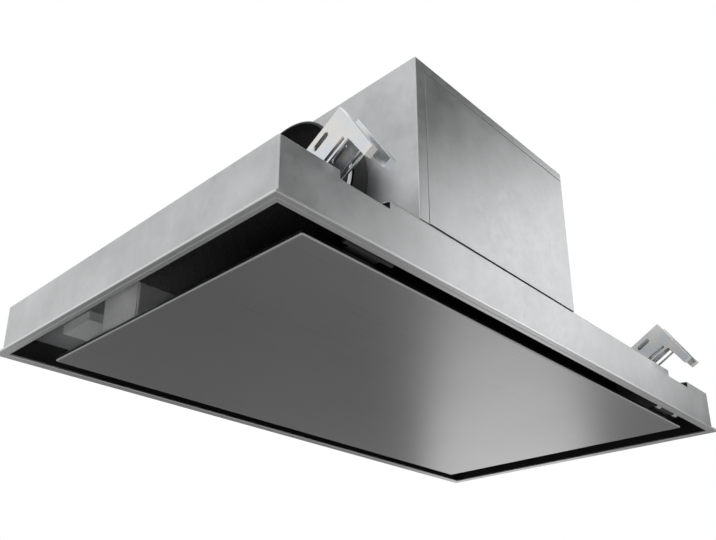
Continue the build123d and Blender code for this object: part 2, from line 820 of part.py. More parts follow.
# The lid's strips meet the left wall's strip at a mitre from the box's upper corner
with BuildSketch(Plane.XZ.offset(-box_back)) as lid_side:
    Polygon(
        (box_left, box_top),
        (box_left + box_left_strip, strip_bottom),
        (box_right, strip_bottom),
        (box_right, box_top),
    )

with BuildPart() as fan_box_top:
    add(box_sheet.part)
    extrude(lid_side.sketch, amount=box_depth, mode=Mode.INTERSECT)
    # Tongues behind the cover's upper edges
    with BuildSketch(Plane.XY.offset(tongue_bottom)):
        with Locations((box_left + box_bend, box_front + sheet)):
            Rectangle(box_length - 2 * box_bend - sheet, sheet, align=Align.MIN)
        with Locations((box_right - sheet, box_back - box_bend)):
            Rectangle(sheet, box_depth - 2 * box_bend - sheet, align=Align.MAX)
    extrude(amount=box_top - sheet - tongue_bottom)
fan_box_top.part.label = "fan_box_top"
export_step(fan_box_top.part, "parts/fan_box_top.step")

with BuildPart() as fan_box_shell:
    add(box_sheet.part)
    extrude(lid_side.sketch, amount=box_depth, mode=Mode.SUBTRACT)
    # Tongues behind the cover's side edges
    with BuildSketch(Plane.XY.offset(cover_bottom)):
        with Locations((box_left + sheet, box_front + sheet)):
            Rectangle(box_left_strip + tongue_reach, sheet, align=Align.MIN)
        with Locations((box_right - sheet, box_back - sheet)):
            Rectangle(sheet, box_rear_strip + tongue_reach, align=Align.MAX)
    extrude(amount=tongue_bottom - cover_bottom)
    # Hole for the collar's tail in the left wall, and for the gland in the rear wall
    with BuildSketch(Plane.YZ.offset(box_left)):
        with Locations((collar_y, collar_z)):
            Circle(collar_groove_radius)
    extrude(amount=2 * sheet, mode=Mode.SUBTRACT)
    with BuildSketch(Plane.XZ.offset(-box_back)):
        with Locations((gland_x, gland_z)):
            Circle(gland_thread_radius)
    extrude(amount=2 * sheet, mode=Mode.SUBTRACT)
fan_box_shell.part.label = "fan_box_shell"
export_step(fan_box_shell.part, "parts/fan_box_shell.step")

cover_left = box_left + box_left_strip + seam
cover_rear = box_back - box_rear_strip - seam
with BuildPart() as fan_box_cover:
    with BuildSketch(Plane.XY.offset(cover_bottom)):
        with BuildLine():
            corner = FilletPolyline(
                (cover_left, box_front),
                (box_right, box_front),
                (box_right, cover_rear),
                radius=box_bend,
            )
            offset(amount=sheet, side=Side.LEFT)
        make_face()
    extrude(amount=strip_bottom - seam - cover_bottom)
fan_box_cover.part.label = "fan_box_cover"
export_step(fan_box_cover.part, "parts/fan_box_cover.step")

# Pan heads along the cover's right side, near its top and rear edges
screw_top_z = strip_bottom - seam - tongue_reach / 2
screw_rear_y = cover_rear - tongue_reach / 2
screw_places = [(box_front + box_depth * share, screw_top_z) for share in (0.15, 0.5, 0.8)]
screw_places += [(screw_rear_y, tray_height + box_height * share) for share in (0.2, 0.65)]
with BuildPart() as fan_box_screws:
    with BuildSketch(Plane.YZ.offset(box_right)):
        with Locations(screw_places):
            Circle(screw_radius)
    extrude(amount=screw_head)
    chamfer(fan_box_screws.edges().group_by(Axis.X)[-1], length=0.8)
    with BuildSketch(Plane.YZ.offset(box_right + screw_head)):
        with Locations(screw_places):
            Rectangle(slot_span, 0.9)
    extrude(amount=-0.9, mode=Mode.SUBTRACT)
fan_box_screws.part.label = "fan_box_screws"
export_step(fan_box_screws.part, "parts/fan_box_screws.step")

# ---------------------------------------------------------------- fan scroll

# The volute is three quarter arcs and a short one, each centred a step from the last, so the
# wall moves away from the impeller steadily from the tongue round to the outlet.
half_step = volute_step / 2
arc_centres = (
    (-half_step, half_step),  # tongue to the left side
    (half_step, half_step),  # left side to the rear
    (half_step, -half_step),  # rear to the right side
    (-half_step, -half_step),  # right side to the front
)
arc_radii = [volute_radius + turns * volute_step for turns in (-1, 0, 1, 2)]
outlet_front = -half_step - arc_radii[3]
duct_end = box_left + sheet - fan_x
# The tongue stands just behind the tail of the outlet collar
tongue_y = collar_y + collar_groove_radius + part_gap - fan_y
tongue_turn = degrees(asin((half_step - tongue_y) / arc_radii[0]))
tongue_x = -half_step - arc_radii[0] * cos(radians(tongue_turn))
scroll_bottom = tray_height
scroll_top = collar_z + collar_base_radius
with BuildSketch(fan_plane) as volute:
    with BuildLine():
        CenterArc(arc_centres[0], arc_radii[0], 180, tongue_turn)
        CenterArc(arc_centres[1], arc_radii[1], 90, 90)
        CenterArc(arc_centres[2], arc_radii[2], 0, 90)
        CenterArc(arc_centres[3], arc_radii[3], 270, 90)
        Line((-half_step, outlet_front), (duct_end, outlet_front))
        Line((duct_end, outlet_front), (duct_end, tongue_y))
        Line((duct_end, tongue_y), (tongue_x, tongue_y))
    make_face()

box_inner = box_left + sheet  # the scroll's sheets end against the box's left wall
lower_plate = scroll_bottom + scroll_sheet
with BuildSketch(Plane.XY) as scroll_outline:
    add(volute.sketch)
    offset(amount=scroll_sheet, kind=Kind.INTERSECTION)
    with Locations((box_inner, box_front)):
        Rectangle(box_length, box_depth, align=(Align.MAX, Align.MIN), mode=Mode.SUBTRACT)

with BuildPart() as scroll_base:
    with BuildSketch(Plane.XY.offset(scroll_bottom)):
        add(scroll_outline.sketch)
        with Locations((fan_x, fan_y)):
            Circle(inlet_radius, mode=Mode.SUBTRACT)
    extrude(amount=scroll_sheet)
scroll_base.part.label = "scroll_base"
export_step(scroll_base.part, "parts/scroll_base.step")

with BuildPart() as scroll_wrap:
    with BuildSketch(Plane.XY.offset(lower_plate)):
        add(scroll_outline.sketch)
        add(volute.sketch, mode=Mode.SUBTRACT)
    extrude(amount=scroll_top - lower_plate)
scroll_wrap.part.label = "scroll_wrap"
export_step(scroll_wrap.part, "parts/scroll_wrap.step")

with BuildPart() as scroll_lid:
    with BuildSketch(Plane.XY.offset(scroll_top)):
        add(scroll_outline.sketch)
        with Locations((fan_x, fan_y)):
            Circle(motor_radius + motor_clearance, mode=Mode.SUBTRACT)
    extrude(amount=scroll_sheet)
scroll_lid.part.label = "scroll_lid"
export_step(scroll_lid.part, "parts/scroll_lid.step")

# Bellmouth under the deck: flange outside, then curved up into the throat
ring_sheet = 2.0  # front ring and back plate of the impeller
mouth_flange = 10.0
mouth_radius = inlet_radius - 1.0
bell = mouth_radius - throat_radius - liner_sheet
throat_top = impeller_bottom + ring_sheet / 2 - deck
bell_turns = [radians(90 * step / 4) for step in range(5)]
upper_bell = [(mouth_radius - bell * sin(turn), bell * (1 - cos(turn))) for turn in bell_turns]
lower_radius = bell + liner_sheet
lower_bell = [
    (mouth_radius - lower_radius * sin(turn), bell - lower_radius * cos(turn))
    for turn in reversed(bell_turns)
]
with BuildPart() as inlet_ring:
    with BuildSketch(Plane(origin=(fan_x, fan_y, deck), x_dir=(1, 0, 0), z_dir=(0, -1, 0))):
        Polygon(
            (inlet_radius + mouth_flange, -liner_sheet),
            (inlet_radius + mouth_flange, 0),
            *upper_bell,
            (throat_radius + liner_sheet, throat_top),
            (throat_radius, throat_top),
            *lower_bell,
        )
    revolve(axis=Axis((fan_x, fan_y, 0), (0, 0, 1)))
inlet_ring.part.label = "inlet_ring"
export_step(inlet_ring.part, "parts/inlet_ring.step")

# ---------------------------------------------------------------- impeller and motor

# Front ring, back plate with its hub, and the blades crimped between them
with BuildPart() as impeller_ring:
    with BuildSketch(fan_plane.offset(impeller_bottom)):
        Circle(impeller_radius)
        Circle(impeller_eye, mode=Mode.SUBTRACT)
    extrude(amount=ring_sheet)
impeller_ring.part.label = "impeller_ring"
export_step(impeller_ring.part, "parts/impeller_ring.step")

with BuildPart() as impeller_plate:
    with BuildSketch(fan_plane.offset(impeller_top - ring_sheet)):
        Circle(impeller_radius)
    extrude(amount=ring_sheet)
    with BuildSketch(fan_plane.offset(hub_bottom)):
        Circle(hub_radius)
    extrude(amount=impeller_top - hub_bottom)
    with BuildSketch(fan_plane.offset(impeller_top)):
        Circle(shaft_radius)
    extrude(amount=hub_bottom - impeller_top, mode=Mode.SUBTRACT)
impeller_plate.part.label = "impeller_plate"
export_step(impeller_plate.part, "parts/impeller_plate.step")

# One forward-curved blade: two arcs a blade's thickness apart, from root to tip
blade_tip = impeller_radius - 1.0
blade_middle = (blade_root + blade_tip) / 2
inner_root = (blade_root, blade_thickness)
inner_belly = (blade_middle, blade_thickness - blade_belly)
inner_tip = (blade_tip, blade_thickness + blade_sweep)
with BuildSketch() as blade:
    with BuildLine():
        ThreePointArc((blade_root, 0), (blade_middle, -blade_belly), (blade_tip, blade_sweep))
        Line((blade_tip, blade_sweep), inner_tip)
        ThreePointArc(inner_tip, inner_belly, inner_root)
        Line(inner_root, (blade_root, 0))
    make_face()

with BuildPart() as impeller_blades:
    with BuildSketch(fan_plane.offset(impeller_bottom + ring_sheet)):
        with PolarLocations(0, blade_count):
            add(blade.sketch)
    extrude(amount=impeller_top - impeller_bottom - 2 * ring_sheet)
impeller_blades.part.label = "impeller_blades"
export_step(impeller_blades.part, "parts/impeller_blades.step")

with BuildPart() as motor_shaft:
    with BuildSketch(fan_plane.offset(shaft_bottom)):
        Circle(shaft_radius)
    extrude(amount=motor_top - shaft_bottom)
    chamfer(motor_shaft.edges().filter_by(GeomType.CIRCLE), length=0.6)
motor_shaft.part.label = "motor_shaft"
export_step(motor_shaft.part, "parts/motor_shaft.step")

mount_bottom = scroll_top + scroll_sheet + grommet_height
with BuildPart() as motor_body:
    with BuildSketch(fan_plane.offset(motor_bottom)):
        Circle(motor_radius)
    extrude(amount=motor_top - motor_bottom)
    chamfer(motor_body.edges().group_by(Axis.Z)[-1], length=4)
    with BuildSketch(fan_plane.offset(mount_bottom + seat_sheet)):
        Circle(motor_flange_radius)
    extrude(amount=seat_sheet)
    with BuildSketch(fan_plane.offset(motor_top)):
        Circle(shaft_radius + running_clearance)
    extrude(amount=motor_bottom - motor_top, mode=Mode.SUBTRACT)
motor_body.part.label = "motor_body"
export_step(motor_body.part, "parts/motor_body.step")

with BuildPart() as motor_mount:
    with BuildSketch(fan_plane.offset(mount_bottom)):
        Circle(mount_ring_radius)
        with PolarLocations(0, 3, start_angle=90):
            with Locations((mount_arm_reach / 2, 0)):
                SlotOverall(mount_arm_reach + mount_arm_width, mount_arm_width)
        Circle(motor_radius, mode=Mode.SUBTRACT)
    extrude(amount=seat_sheet)
motor_mount.part.label = "motor_mount"
export_step(motor_mount.part, "parts/motor_mount.step")

with BuildPart() as motor_grommets:
    with BuildSketch(fan_plane.offset(scroll_top + scroll_sheet)):
        with PolarLocations(mount_arm_reach, 3, start_angle=90):
            Circle(grommet_radius)
    extrude(amount=grommet_height)
motor_grommets.part.label = "motor_grommets"
export_step(motor_grommets.part, "parts/motor_grommets.step")

capacitor_foot = 2.0
capacitor_z = scroll_top + scroll_sheet + capacitor_foot + capacitor_radius
capacitor_start = box_left + 12.0
with BuildPart() as run_capacitor:
    with BuildSketch(Plane.YZ.offset(capacitor_start)):
        with Locations((collar_y, capacitor_z)):
            Circle(capacitor_radius)
    extrude(amount=capacitor_length)
    chamfer(run_capacitor.edges().group_by(Axis.X)[-1], length=2)
    with BuildSketch(Plane.XY.offset(scroll_top + scroll_sheet)):
        with Locations((capacitor_start + capacitor_length / 2, collar_y)):
            Rectangle(capacitor_length * 0.5, capacitor_radius)
    extrude(amount=capacitor_foot + 4)
run_capacitor.part.label = "run_capacitor"
export_step(run_capacitor.part, "parts/run_capacitor.step")

# ---------------------------------------------------------------- outlet collar

# Local x runs out from the box's left face, local y up, with the origin on the duct's axis
collar_plane = Plane(
    origin=(box_left, collar_y, collar_z), x_dir=(-1, 0, 0), z_dir=(0, 1, 0)
)
collar_axis = Axis((box_left, collar_y, collar_z), (-1, 0, 0))
groove_end = collar_base_length + collar_groove_length
lead_in = 1.0
with BuildPart() as outlet_collar:
    with BuildSketch(collar_plane):
        Polygon(
            (-collar_tail, collar_bore),
            (-collar_tail, collar_groove_radius),
            (0, collar_groove_radius),
            (0, collar_base_radius),
            (collar_base_length, collar_base_radius),
            (collar_base_length, collar_groove_radius),
            (groove_end, collar_groove_radius),
            (groove_end, band_seat_radius),
            (groove_end + band_width, band_seat_radius),
            (groove_end + band_width, spigot_radius),
            (collar_length - lead_in, spigot_radius),
            (collar_length, spigot_radius - lead_in),
            (collar_length, collar_bore),
        )
    revolve(axis=collar_axis)
    # Blind holes for the ends of the flaps' axle
    with BuildSketch(Plane.XY.offset(collar_z)):
        with Locations((box_left - flap_axle_offset, collar_y)):
            Circle(flap_axle_radius)
    extrude(amount=collar_bore + 3, both=True, mode=Mode.SUBTRACT)
outlet_collar.part.label = "outlet_collar"
export_step(outlet_collar.part, "parts/outlet_collar.step")

with BuildPart() as collar_band:
    with BuildSketch(collar_plane):
        with Locations((groove_end, band_seat_radius)):
            Rectangle(
                band_width, band_radius - band_seat_radius, align=(Align.MIN, Align.MIN)
            )
    revolve(axis=collar_axis)
collar_band.part.label = "collar_band"
export_step(collar_band.part, "parts/collar_band.step")

axle_x = box_left - flap_axle_offset
axle_hole_depth = 3.0
with BuildPart() as flap_axle:
    with BuildSketch(Plane.XY.offset(collar_z)):
        with Locations((axle_x, collar_y)):
            Circle(flap_axle_radius)
    extrude(amount=collar_bore + axle_hole_depth, both=True)
flap_axle.part.label = "flap_axle"
export_step(flap_axle.part, "parts/flap_axle.step")

# Each flap is a half disc beside the axle, on barrels that take turns along it
flap_inner_edge = flap_barrel_radius + 0.4
barrel_pitch = 23.0
barrel_length = barrel_pitch - part_gap
barrel_rows = (-2.5, -1.5, -0.5, 0.5, 1.5, 2.5)
flap_plane = Plane(origin=(axle_x, collar_y, collar_z), x_dir=(0, 1, 0), z_dir=(1, 0, 0))


def flap(name, direction):
    """Half-disc non-return flap, direction -1 on the front half of the duct and +1 behind it."""
    with BuildPart() as blade:
        with BuildSketch(flap_plane.offset(-flap_thickness / 2)):
            Circle(flap_radius)
            with Locations((direction * flap_inner_edge, 0)):
                Rectangle(
                    2 * flap_radius,
                    2 * flap_radius,
                    align=(Align.MAX if direction > 0 else Align.MIN, Align.CENTER),
                    mode=Mode.SUBTRACT,
                )
        extrude(amount=flap_thickness)
    blade.part.label = name
    return blade.part


def flap_barrels(name, direction, rows):
    """Barrels of one flap, each with a short arm that meets the flap's inner edge."""
    with BuildPart() as barrels:
        for row in rows:
            start = collar_z + row * barrel_pitch - barrel_length / 2
            with BuildSketch(Plane.XY.offset(start)):
                with Locations((axle_x, collar_y)):
                    Circle(flap_barrel_radius)
                    Rectangle(
                        flap_thickness,
                        flap_inner_edge,
                        align=(Align.CENTER, Align.MIN if direction > 0 else Align.MAX),
                    )
                    Circle(flap_axle_radius + running_clearance, mode=Mode.SUBTRACT)
            extrude(amount=barrel_length)
    barrels.part.label = name
    return barrels.part


for name, direction, rows in (
    ("flap_front", -1, barrel_rows[0::2]),
    ("flap_rear", 1, barrel_rows[1::2]),
):
    export_step(flap(name, direction), f"parts/{name}.step")
    barrels_name = f"{name}_barrels"
    export_step(flap_barrels(barrels_name, direction, rows), f"parts/{barrels_name}.step")

# ---------------------------------------------------------------- cable gland

gland_thread = 12.0
nut_height = 6.0
dome_height = 9.0
with BuildPart() as cable_gland:
    with BuildSketch(Plane.XZ.offset(-box_back)):
        with Locations((gland_x, gland_z)):
            RegularPolygon(gland_nut_radius, 6)
    extrude(amount=-nut_height)
    with BuildSketch(Plane.XZ.offset(-box_back - nut_height)):
        with Locations((gland_x, gland_z)):
            Circle(gland_nut_radius - 2.5)
    extrude(amount=-dome_height)
    chamfer(cable_gland.edges().group_by(Axis.Y)[-1], length=2.5)
    with BuildSketch(Plane.XZ.offset(-box_back)):
        with Locations((gland_x, gland_z)):
            Circle(gland_thread_radius)
    extrude(amount=gland_thread)
    with BuildSketch(Plane.XZ.offset(-box_back + sheet)):
        with Locations((gland_x, gland_z)):
            RegularPolygon(gland_nut_radius, 6)
    extrude(amount=nut_height - 1)
    with BuildSketch(Plane.XZ.offset(-box_back + gland_thread)):
        with Locations((gland_x, gland_z)):
            Circle(gland_bore)
    extrude(amount=-gland_thread - nut_height - dome_height, mode=Mode.SUBTRACT)
cable_gland.part.label = "cable_gland"
export_step(cable_gland.part, "parts/cable_gland.step")
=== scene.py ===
"""Ceiling range hood: finishes, added pieces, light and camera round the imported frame."""

import json
import logging
import math
from collections.abc import Iterable, Mapping, Sequence
from dataclasses import dataclass, field
from enum import Enum, auto
from typing import Any, NamedTuple, Union

import bmesh
import bpy
import numpy as np
from mathutils import Matrix, Vector


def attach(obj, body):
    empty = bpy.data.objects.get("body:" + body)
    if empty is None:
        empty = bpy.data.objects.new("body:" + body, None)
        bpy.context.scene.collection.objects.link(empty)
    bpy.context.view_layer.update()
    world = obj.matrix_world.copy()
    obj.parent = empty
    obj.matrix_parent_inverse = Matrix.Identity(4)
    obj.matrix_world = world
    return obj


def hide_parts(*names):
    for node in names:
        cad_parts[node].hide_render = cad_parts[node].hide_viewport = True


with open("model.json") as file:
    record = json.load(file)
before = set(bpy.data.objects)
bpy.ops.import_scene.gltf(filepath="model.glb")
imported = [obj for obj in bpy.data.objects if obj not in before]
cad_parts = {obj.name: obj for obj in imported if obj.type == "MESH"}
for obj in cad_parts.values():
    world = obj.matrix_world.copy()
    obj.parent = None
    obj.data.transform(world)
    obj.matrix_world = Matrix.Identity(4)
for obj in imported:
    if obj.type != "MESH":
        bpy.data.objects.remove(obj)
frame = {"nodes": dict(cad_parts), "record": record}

LOG = logging.getLogger("range_hood")
MM = 0.001

Colour = tuple[float, float, float]
Point = tuple[float, float, float]
Pair = tuple[float, float]
Pairs = tuple[Pair, ...]
Number = Union[float, "Socket"]


# ---- shader graph


class Socket:
    """An output of a shader node that takes part in Python arithmetic."""

    def __init__(self, graph: "Graph", link: bpy.types.NodeSocket | None) -> None:
        """Keeps the graph and the output that this value stands for."""
        self.graph = graph
        self.link = link

    def _math(self, operation: str, first: Number, second: Number) -> "Socket":
        """Adds one Math node for an operation on two values."""
        return self.graph.node("ShaderNodeMath", {"operation": operation}, {0: first, 1: second})

    def __add__(self, other: Number) -> "Socket":
        """Value plus another."""
        return self._math("ADD", self, other)

    def __radd__(self, other: float) -> "Socket":
        """Number plus the value."""
        return self._math("ADD", other, self)

    def __sub__(self, other: Number) -> "Socket":
        """Value minus another."""
        return self._math("SUBTRACT", self, other)

    def __rsub__(self, other: float) -> "Socket":
        """Number minus the value."""
        return self._math("SUBTRACT", other, self)

    def __mul__(self, other: Number) -> "Socket":
        """Value times another."""
        return self._math("MULTIPLY", self, other)

    def __rmul__(self, other: float) -> "Socket":
        """Number times the value."""
        return self._math("MULTIPLY", other, self)

    def __gt__(self, other: Number) -> "Socket":
        """1 where the value is the greater, and 0 elsewhere."""
        return self._math("GREATER_THAN", self, other)

    def __lt__(self, other: Number) -> "Socket":
        """1 where the value is the smaller, and 0 elsewhere."""
        return self._math("LESS_THAN", self, other)

    def swing(self, width: float) -> "Socket":
        """A value from 0 to 1 as a swing about 0, that wide from end to end."""
        return (self - 0.5) * width


class Graph:
    """The node tree of one material or of the world."""

    EDGE_SAMPLES = 6
    EDGE_BENDS = (0.01, 0.14)  # 1 - cosine of the bend where an edge begins and is full

    def __init__(self, tree: bpy.types.NodeTree) -> None:
        """Empties the tree and starts in it."""
        self.tree = tree
        tree.nodes.clear()

    def node(
        self,
        kind: str,
        settings: Mapping[str, Any] | None = None,
        sockets: Mapping[str | int, Any] | None = None,
        output: str | int = 0,
    ) -> Socket:
        """Adds one node.

        Args:
            kind: the node's type.
            settings: its properties, which are set first.
            sockets: values or links of its inputs, by name, identifier or number.
            output: the output that is handed back.

        Returns:
            The chosen output as a value, which is empty for a node that has none.
        """
        made = self.tree.nodes.new(kind)
        for name, value in (settings or {}).items():
            setattr(made, name, value)
        for name, value in (sockets or {}).items():
            socket = self._find(made.inputs, name)
            if isinstance(value, Socket):
                self.tree.links.new(value.link, socket)
            else:
                socket.default_value = value
        return Socket(self, self._find(made.outputs, output) if made.outputs else None)

    @staticmethod
    def _find(sockets: Iterable[bpy.types.NodeSocket], name: str | int) -> bpy.types.NodeSocket:
        """The socket of that number, identifier or name."""
        if isinstance(name, int):
            return list(sockets)[name]
        return next(s for s in sockets if name in (s.identifier, s.name))

    def place(self, stretch: Point = (1.0, 1.0, 1.0)) -> Socket:
        """Object coordinates in metres, times a factor for each axis."""
        place = self.node("ShaderNodeTexCoord", output="Object")
        return self.node(
            "ShaderNodeVectorMath", {"operation": "MULTIPLY"}, {0: place, 1: stretch}
        )

    def noise(self, where: Socket, scale: float, detail: float = 3.0, rough: float = 0.5) -> Socket:
        """Soft cloud of values from 0 to 1.

        Args:
            where: the coordinates.
            scale: clouds in a unit of the coordinates.
            detail: octaves.
            rough: the weight of the finer octaves.

        Returns:
            The cloud's value.
        """
        return self.node(
            "ShaderNodeTexNoise",
            sockets={"Vector": where, "Scale": scale, "Detail": detail, "Roughness": rough},
        )

    def lines(self, stretch: Point, detail: float = 3.0, rough: float = 0.5) -> Socket:
        """Cloud drawn out into lines, by the clouds in a metre along each axis."""
        return self.noise(self.place(stretch), 1.0, detail, rough)

    def mix(self, factor: Number, first: Any, second: Any) -> Socket:
        """Colour between two colours.

        Args:
            factor: the second colour's share, which is held between 0 and 1.
            first: a colour or a link.
            second: the same.

        Returns:
            The mixed colour.
        """
        first = first if isinstance(first, Socket) else (*first, 1.0)
        second = second if isinstance(second, Socket) else (*second, 1.0)
        return self.node(
            "ShaderNodeMix",
            {"data_type": "RGBA", "clamp_factor": True},
            {"Factor_Float": factor, "A_Color": first, "B_Color": second},
            "Result_Color",
        )

    def ramp(self, value: Socket, low: float, high: float) -> Socket:
        """Value that runs from 0 to 1 while the given one runs from low to high.

        Args:
            value: what is mapped.
            low: where the run starts.
            high: where it stops.

        Returns:
            The mapped value, smooth at both ends.
        """
        return self.node(
            "ShaderNodeMapRange",
            {"interpolation_type": "SMOOTHSTEP"},
            {"Value": value, "From Min": low, "From Max": high},
        )

    def rounded(self, radius: float) -> Socket:
        """Normal that is rounded over the edges by a radius in metres."""
        return self.node("ShaderNodeBevel", {"samples": self.EDGE_SAMPLES}, {"Radius": radius})

    def edge(self, rounded: Socket) -> Socket:
        """Mask of the edges, from how far a rounded normal leans from the plain one.

        Args:
            rounded: the rounded normal.

        Returns:
            A value that is 1 on the edges and 0 on flat ground.
        """
        plain = self.node("ShaderNodeNewGeometry", output="Normal")
        dot = self.node(
            "ShaderNodeVectorMath", {"operation": "DOT_PRODUCT"}, {0: rounded, 1: plain}, "Value"
        )
        return self.ramp(1.0 - dot, *self.EDGE_BENDS)

    def bump(self, height: Socket, depth: float, normal: Socket) -> Socket:
        """Roughened normal.

        Args:
            height: the height field, from 0 to 1.
            depth: its full height in metres.
            normal: the normal that it is laid over.

        Returns:
            The normal with the field's slopes.
        """
        return self.node(
            "ShaderNodeBump",
            sockets={"Strength": 1.0, "Distance": depth, "Height": height, "Normal": normal},
            output="Normal",
        )

    def glow(self, colour: Colour) -> Socket:
        """Shader that is evenly that bright, whatever the light."""
        return self.node("ShaderNodeEmission", sockets={"Color": (*colour, 1.0), "Strength": 1.0})

    def show(self, shader: Socket) -> None:
        """Ends a material's tree in a shader."""
        self.node("ShaderNodeOutputMaterial", sockets={"Surface": shader})

    def seen_directly(self) -> Socket:
        """1 for what the camera sees, a reflection shows or glass lets through."""
        rays = ("Is Camera Ray", "Is Glossy Ray", "Is Transmission Ray")
        seen, glossy, through = (self.node("ShaderNodeLightPath", output=ray) for ray in rays)
        return seen + glossy + through > 0.5


def new_material(
    name: str, colour: Colour, metallic: float = 0.0, roughness: float = 1.0
) -> bpy.types.Material:
    """Material with the plain values that a solid view shows.

    Args:
        name: the material's name.
        colour: its plain colour.
        metallic: how metallic it is.
        roughness: how rough it is.

    Returns:
        The material, ready for its nodes.
    """
    made = bpy.data.materials.new(name)
    made.use_nodes = True
    made.diffuse_color = (*colour, 1.0)
    made.metallic = metallic
    made.roughness = roughness
    return made


def add_object(name: str, data: bpy.types.ID) -> bpy.types.Object:
    """New object in the scene round a mesh, a lamp or a camera."""
    made = bpy.data.objects.new(name, data)
    bpy.context.scene.collection.objects.link(made)
    return made


# ---- finishes


def shade(colour: Colour, factor: float) -> Colour:
    """The colour made lighter or darker by a factor, and held at 1."""
    return tuple(min(1.0, factor * part) for part in colour)


@dataclass(frozen=True)
class Finish:
    """A finish: its plain values, over which each kind lays a pattern of its own."""

    name: str
    colour: Colour
    roughness: float
    metallic: float = 0.0
    gloss: float = 0.5  # the shader's specular level
    edge_radius: float = 0.6 * MM
    edge_light_and_wear_colour: Colour | None = None  # where edges differ from the faces: painted highlight on steel and zinc, painted shade on the trim, a thinner coat on the black coat
    edge_share: float = 1.0  # of that colour

    def pattern(self, graph: Graph) -> dict[str, Any]:
        """Sockets of the Principled shader, and as Height a height field and its depth."""
        raise NotImplementedError

    def material(self) -> bpy.types.Material:
        """Makes the finish, with its edges rounded and coloured: painted highlight on steel and
        zinc, painted shade on the trim, wear on the black coat.

        Returns:
            A material whose tree ends in one Principled shader.
        """
        made = new_material(self.name, self.colour, self.metallic, self.roughness)
        graph = Graph(made.node_tree)
        sockets = {
            "Metallic": self.metallic,
            "Roughness": self.roughness,
            "Specular IOR Level": self.gloss,
            **self.pattern(graph),
        }
        rounded = graph.rounded(self.edge_radius)
        # Edge colour: painted highlight on steel and zinc, painted shade on the trim, a lighter
        # edge on galvanised sheet and a thinner coat on the black coat
        if self.edge_light_and_wear_colour:
            edge = graph.edge(rounded) * self.edge_share
            sockets["Base Color"] = graph.mix(edge, sockets["Base Color"], self.edge_light_and_wear_colour)
        sockets["Normal"] = graph.bump(*sockets.pop("Height"), rounded)
        graph.show(graph.node("ShaderNodeBsdfPrincipled", sockets=sockets))
        return made


@dataclass(frozen=True)
class BrushedSteel(Finish):
    """Stainless sheet with fine brushed lines."""

    name: str = "brushed_stainless"
    colour: Colour = (0.44, 0.44, 0.445)
    roughness: float = 0.29
    metallic: float = 1.0
    edge_radius: float = 1.6 * MM
    # Painted highlight along the rounded edges, lighter than the faces
    edge_light_and_wear_colour: Colour = (0.968, 0.968, 0.979)
    grain: Point = (5.0, 1500.0, 1500.0)  # lines in a metre along each axis
    grain_shades: Pair = (0.95, 1.05)  # of the plain colour

    def pattern(self, graph: Graph) -> dict[str, Any]:
        """Brushed lines as colour, roughness and bump."""
        lines = graph.lines(self.grain, detail=4.0, rough=0.62)
        clouds = graph.noise(graph.place(), scale=6.0)
        dark, light = (shade(self.colour, factor) for factor in self.grain_shades)
        return {
            "Base Color": graph.mix(graph.ramp(lines, 0.3, 0.7), dark, light),
            "Roughness": self.roughness + lines.swing(0.08) + clouds.swing(0.05),
            "Height": (lines, 0.003 * MM),
        }


@dataclass(frozen=True)
class GalvanisedSheet(Finish):
    """Hot-dip galvanised sheet: fine spangle under soft clouds."""

    name: str = "galvanised_sheet"
    colour: Colour = (0.50, 0.505, 0.51)
    roughness: float = 0.36
    metallic: float = 1.0
    edge_radius: float = 0.7 * MM
    edge_light_and_wear_colour: Colour = (0.70, 0.70, 0.70)
    edge_share: float = 0.2
    crystals: float = 150.0  # in a metre
    bend: float = 12.0 * MM  # how far a drift moves the crystals
    # How far each pattern swings the shade between dark and light
    crystal_swing: float = 0.05
    cloud_swing: float = 0.80
    grit_swing: float = 0.10
    streak_swing: float = 0.14
    shades: Pair = (0.80, 1.17)  # of the plain colour

    def pattern(self, graph: Graph) -> dict[str, Any]:
        """Crystals of slightly different grey and gloss, with streaks and clouds over them."""
        where = graph.place()
        drift = graph.noise(where, scale=60.0, detail=2.0)
        bent = graph.node(
            "ShaderNodeVectorMath",
            {"operation": "ADD"},
            {0: where, 1: graph.mix(drift, (0.0, 0.0, 0.0), (self.bend, self.bend, self.bend))},
        )
        cells = graph.node(
            "ShaderNodeTexVoronoi", None, {"Vector": bent, "Scale": self.crystals}, "Color"
        )
        crystal = graph.node("ShaderNodeSeparateColor", sockets={"Color": cells}, output="Red")
        clouds = graph.noise(where, scale=14.0, detail=5.0, rough=0.62)
        grit = graph.noise(where, scale=480.0, rough=0.6)
        streaks = graph.lines((34.0, 34.0, 5.0), rough=0.55)
        swing = crystal.swing(self.crystal_swing) + clouds.swing(self.cloud_swing)
        swing = swing + grit.swing(self.grit_swing) + streaks.swing(self.streak_swing)
        dark, light = (shade(self.colour, factor) for factor in self.shades)
        return {
            "Base Color": graph.mix(graph.ramp(swing + 0.5, 0.18, 0.82), dark, light),
            "Roughness": self.roughness + clouds.swing(0.14) + crystal.swing(0.04),
            "Height": (grit * 0.8 + crystal * 0.2, 0.012 * MM),
        }


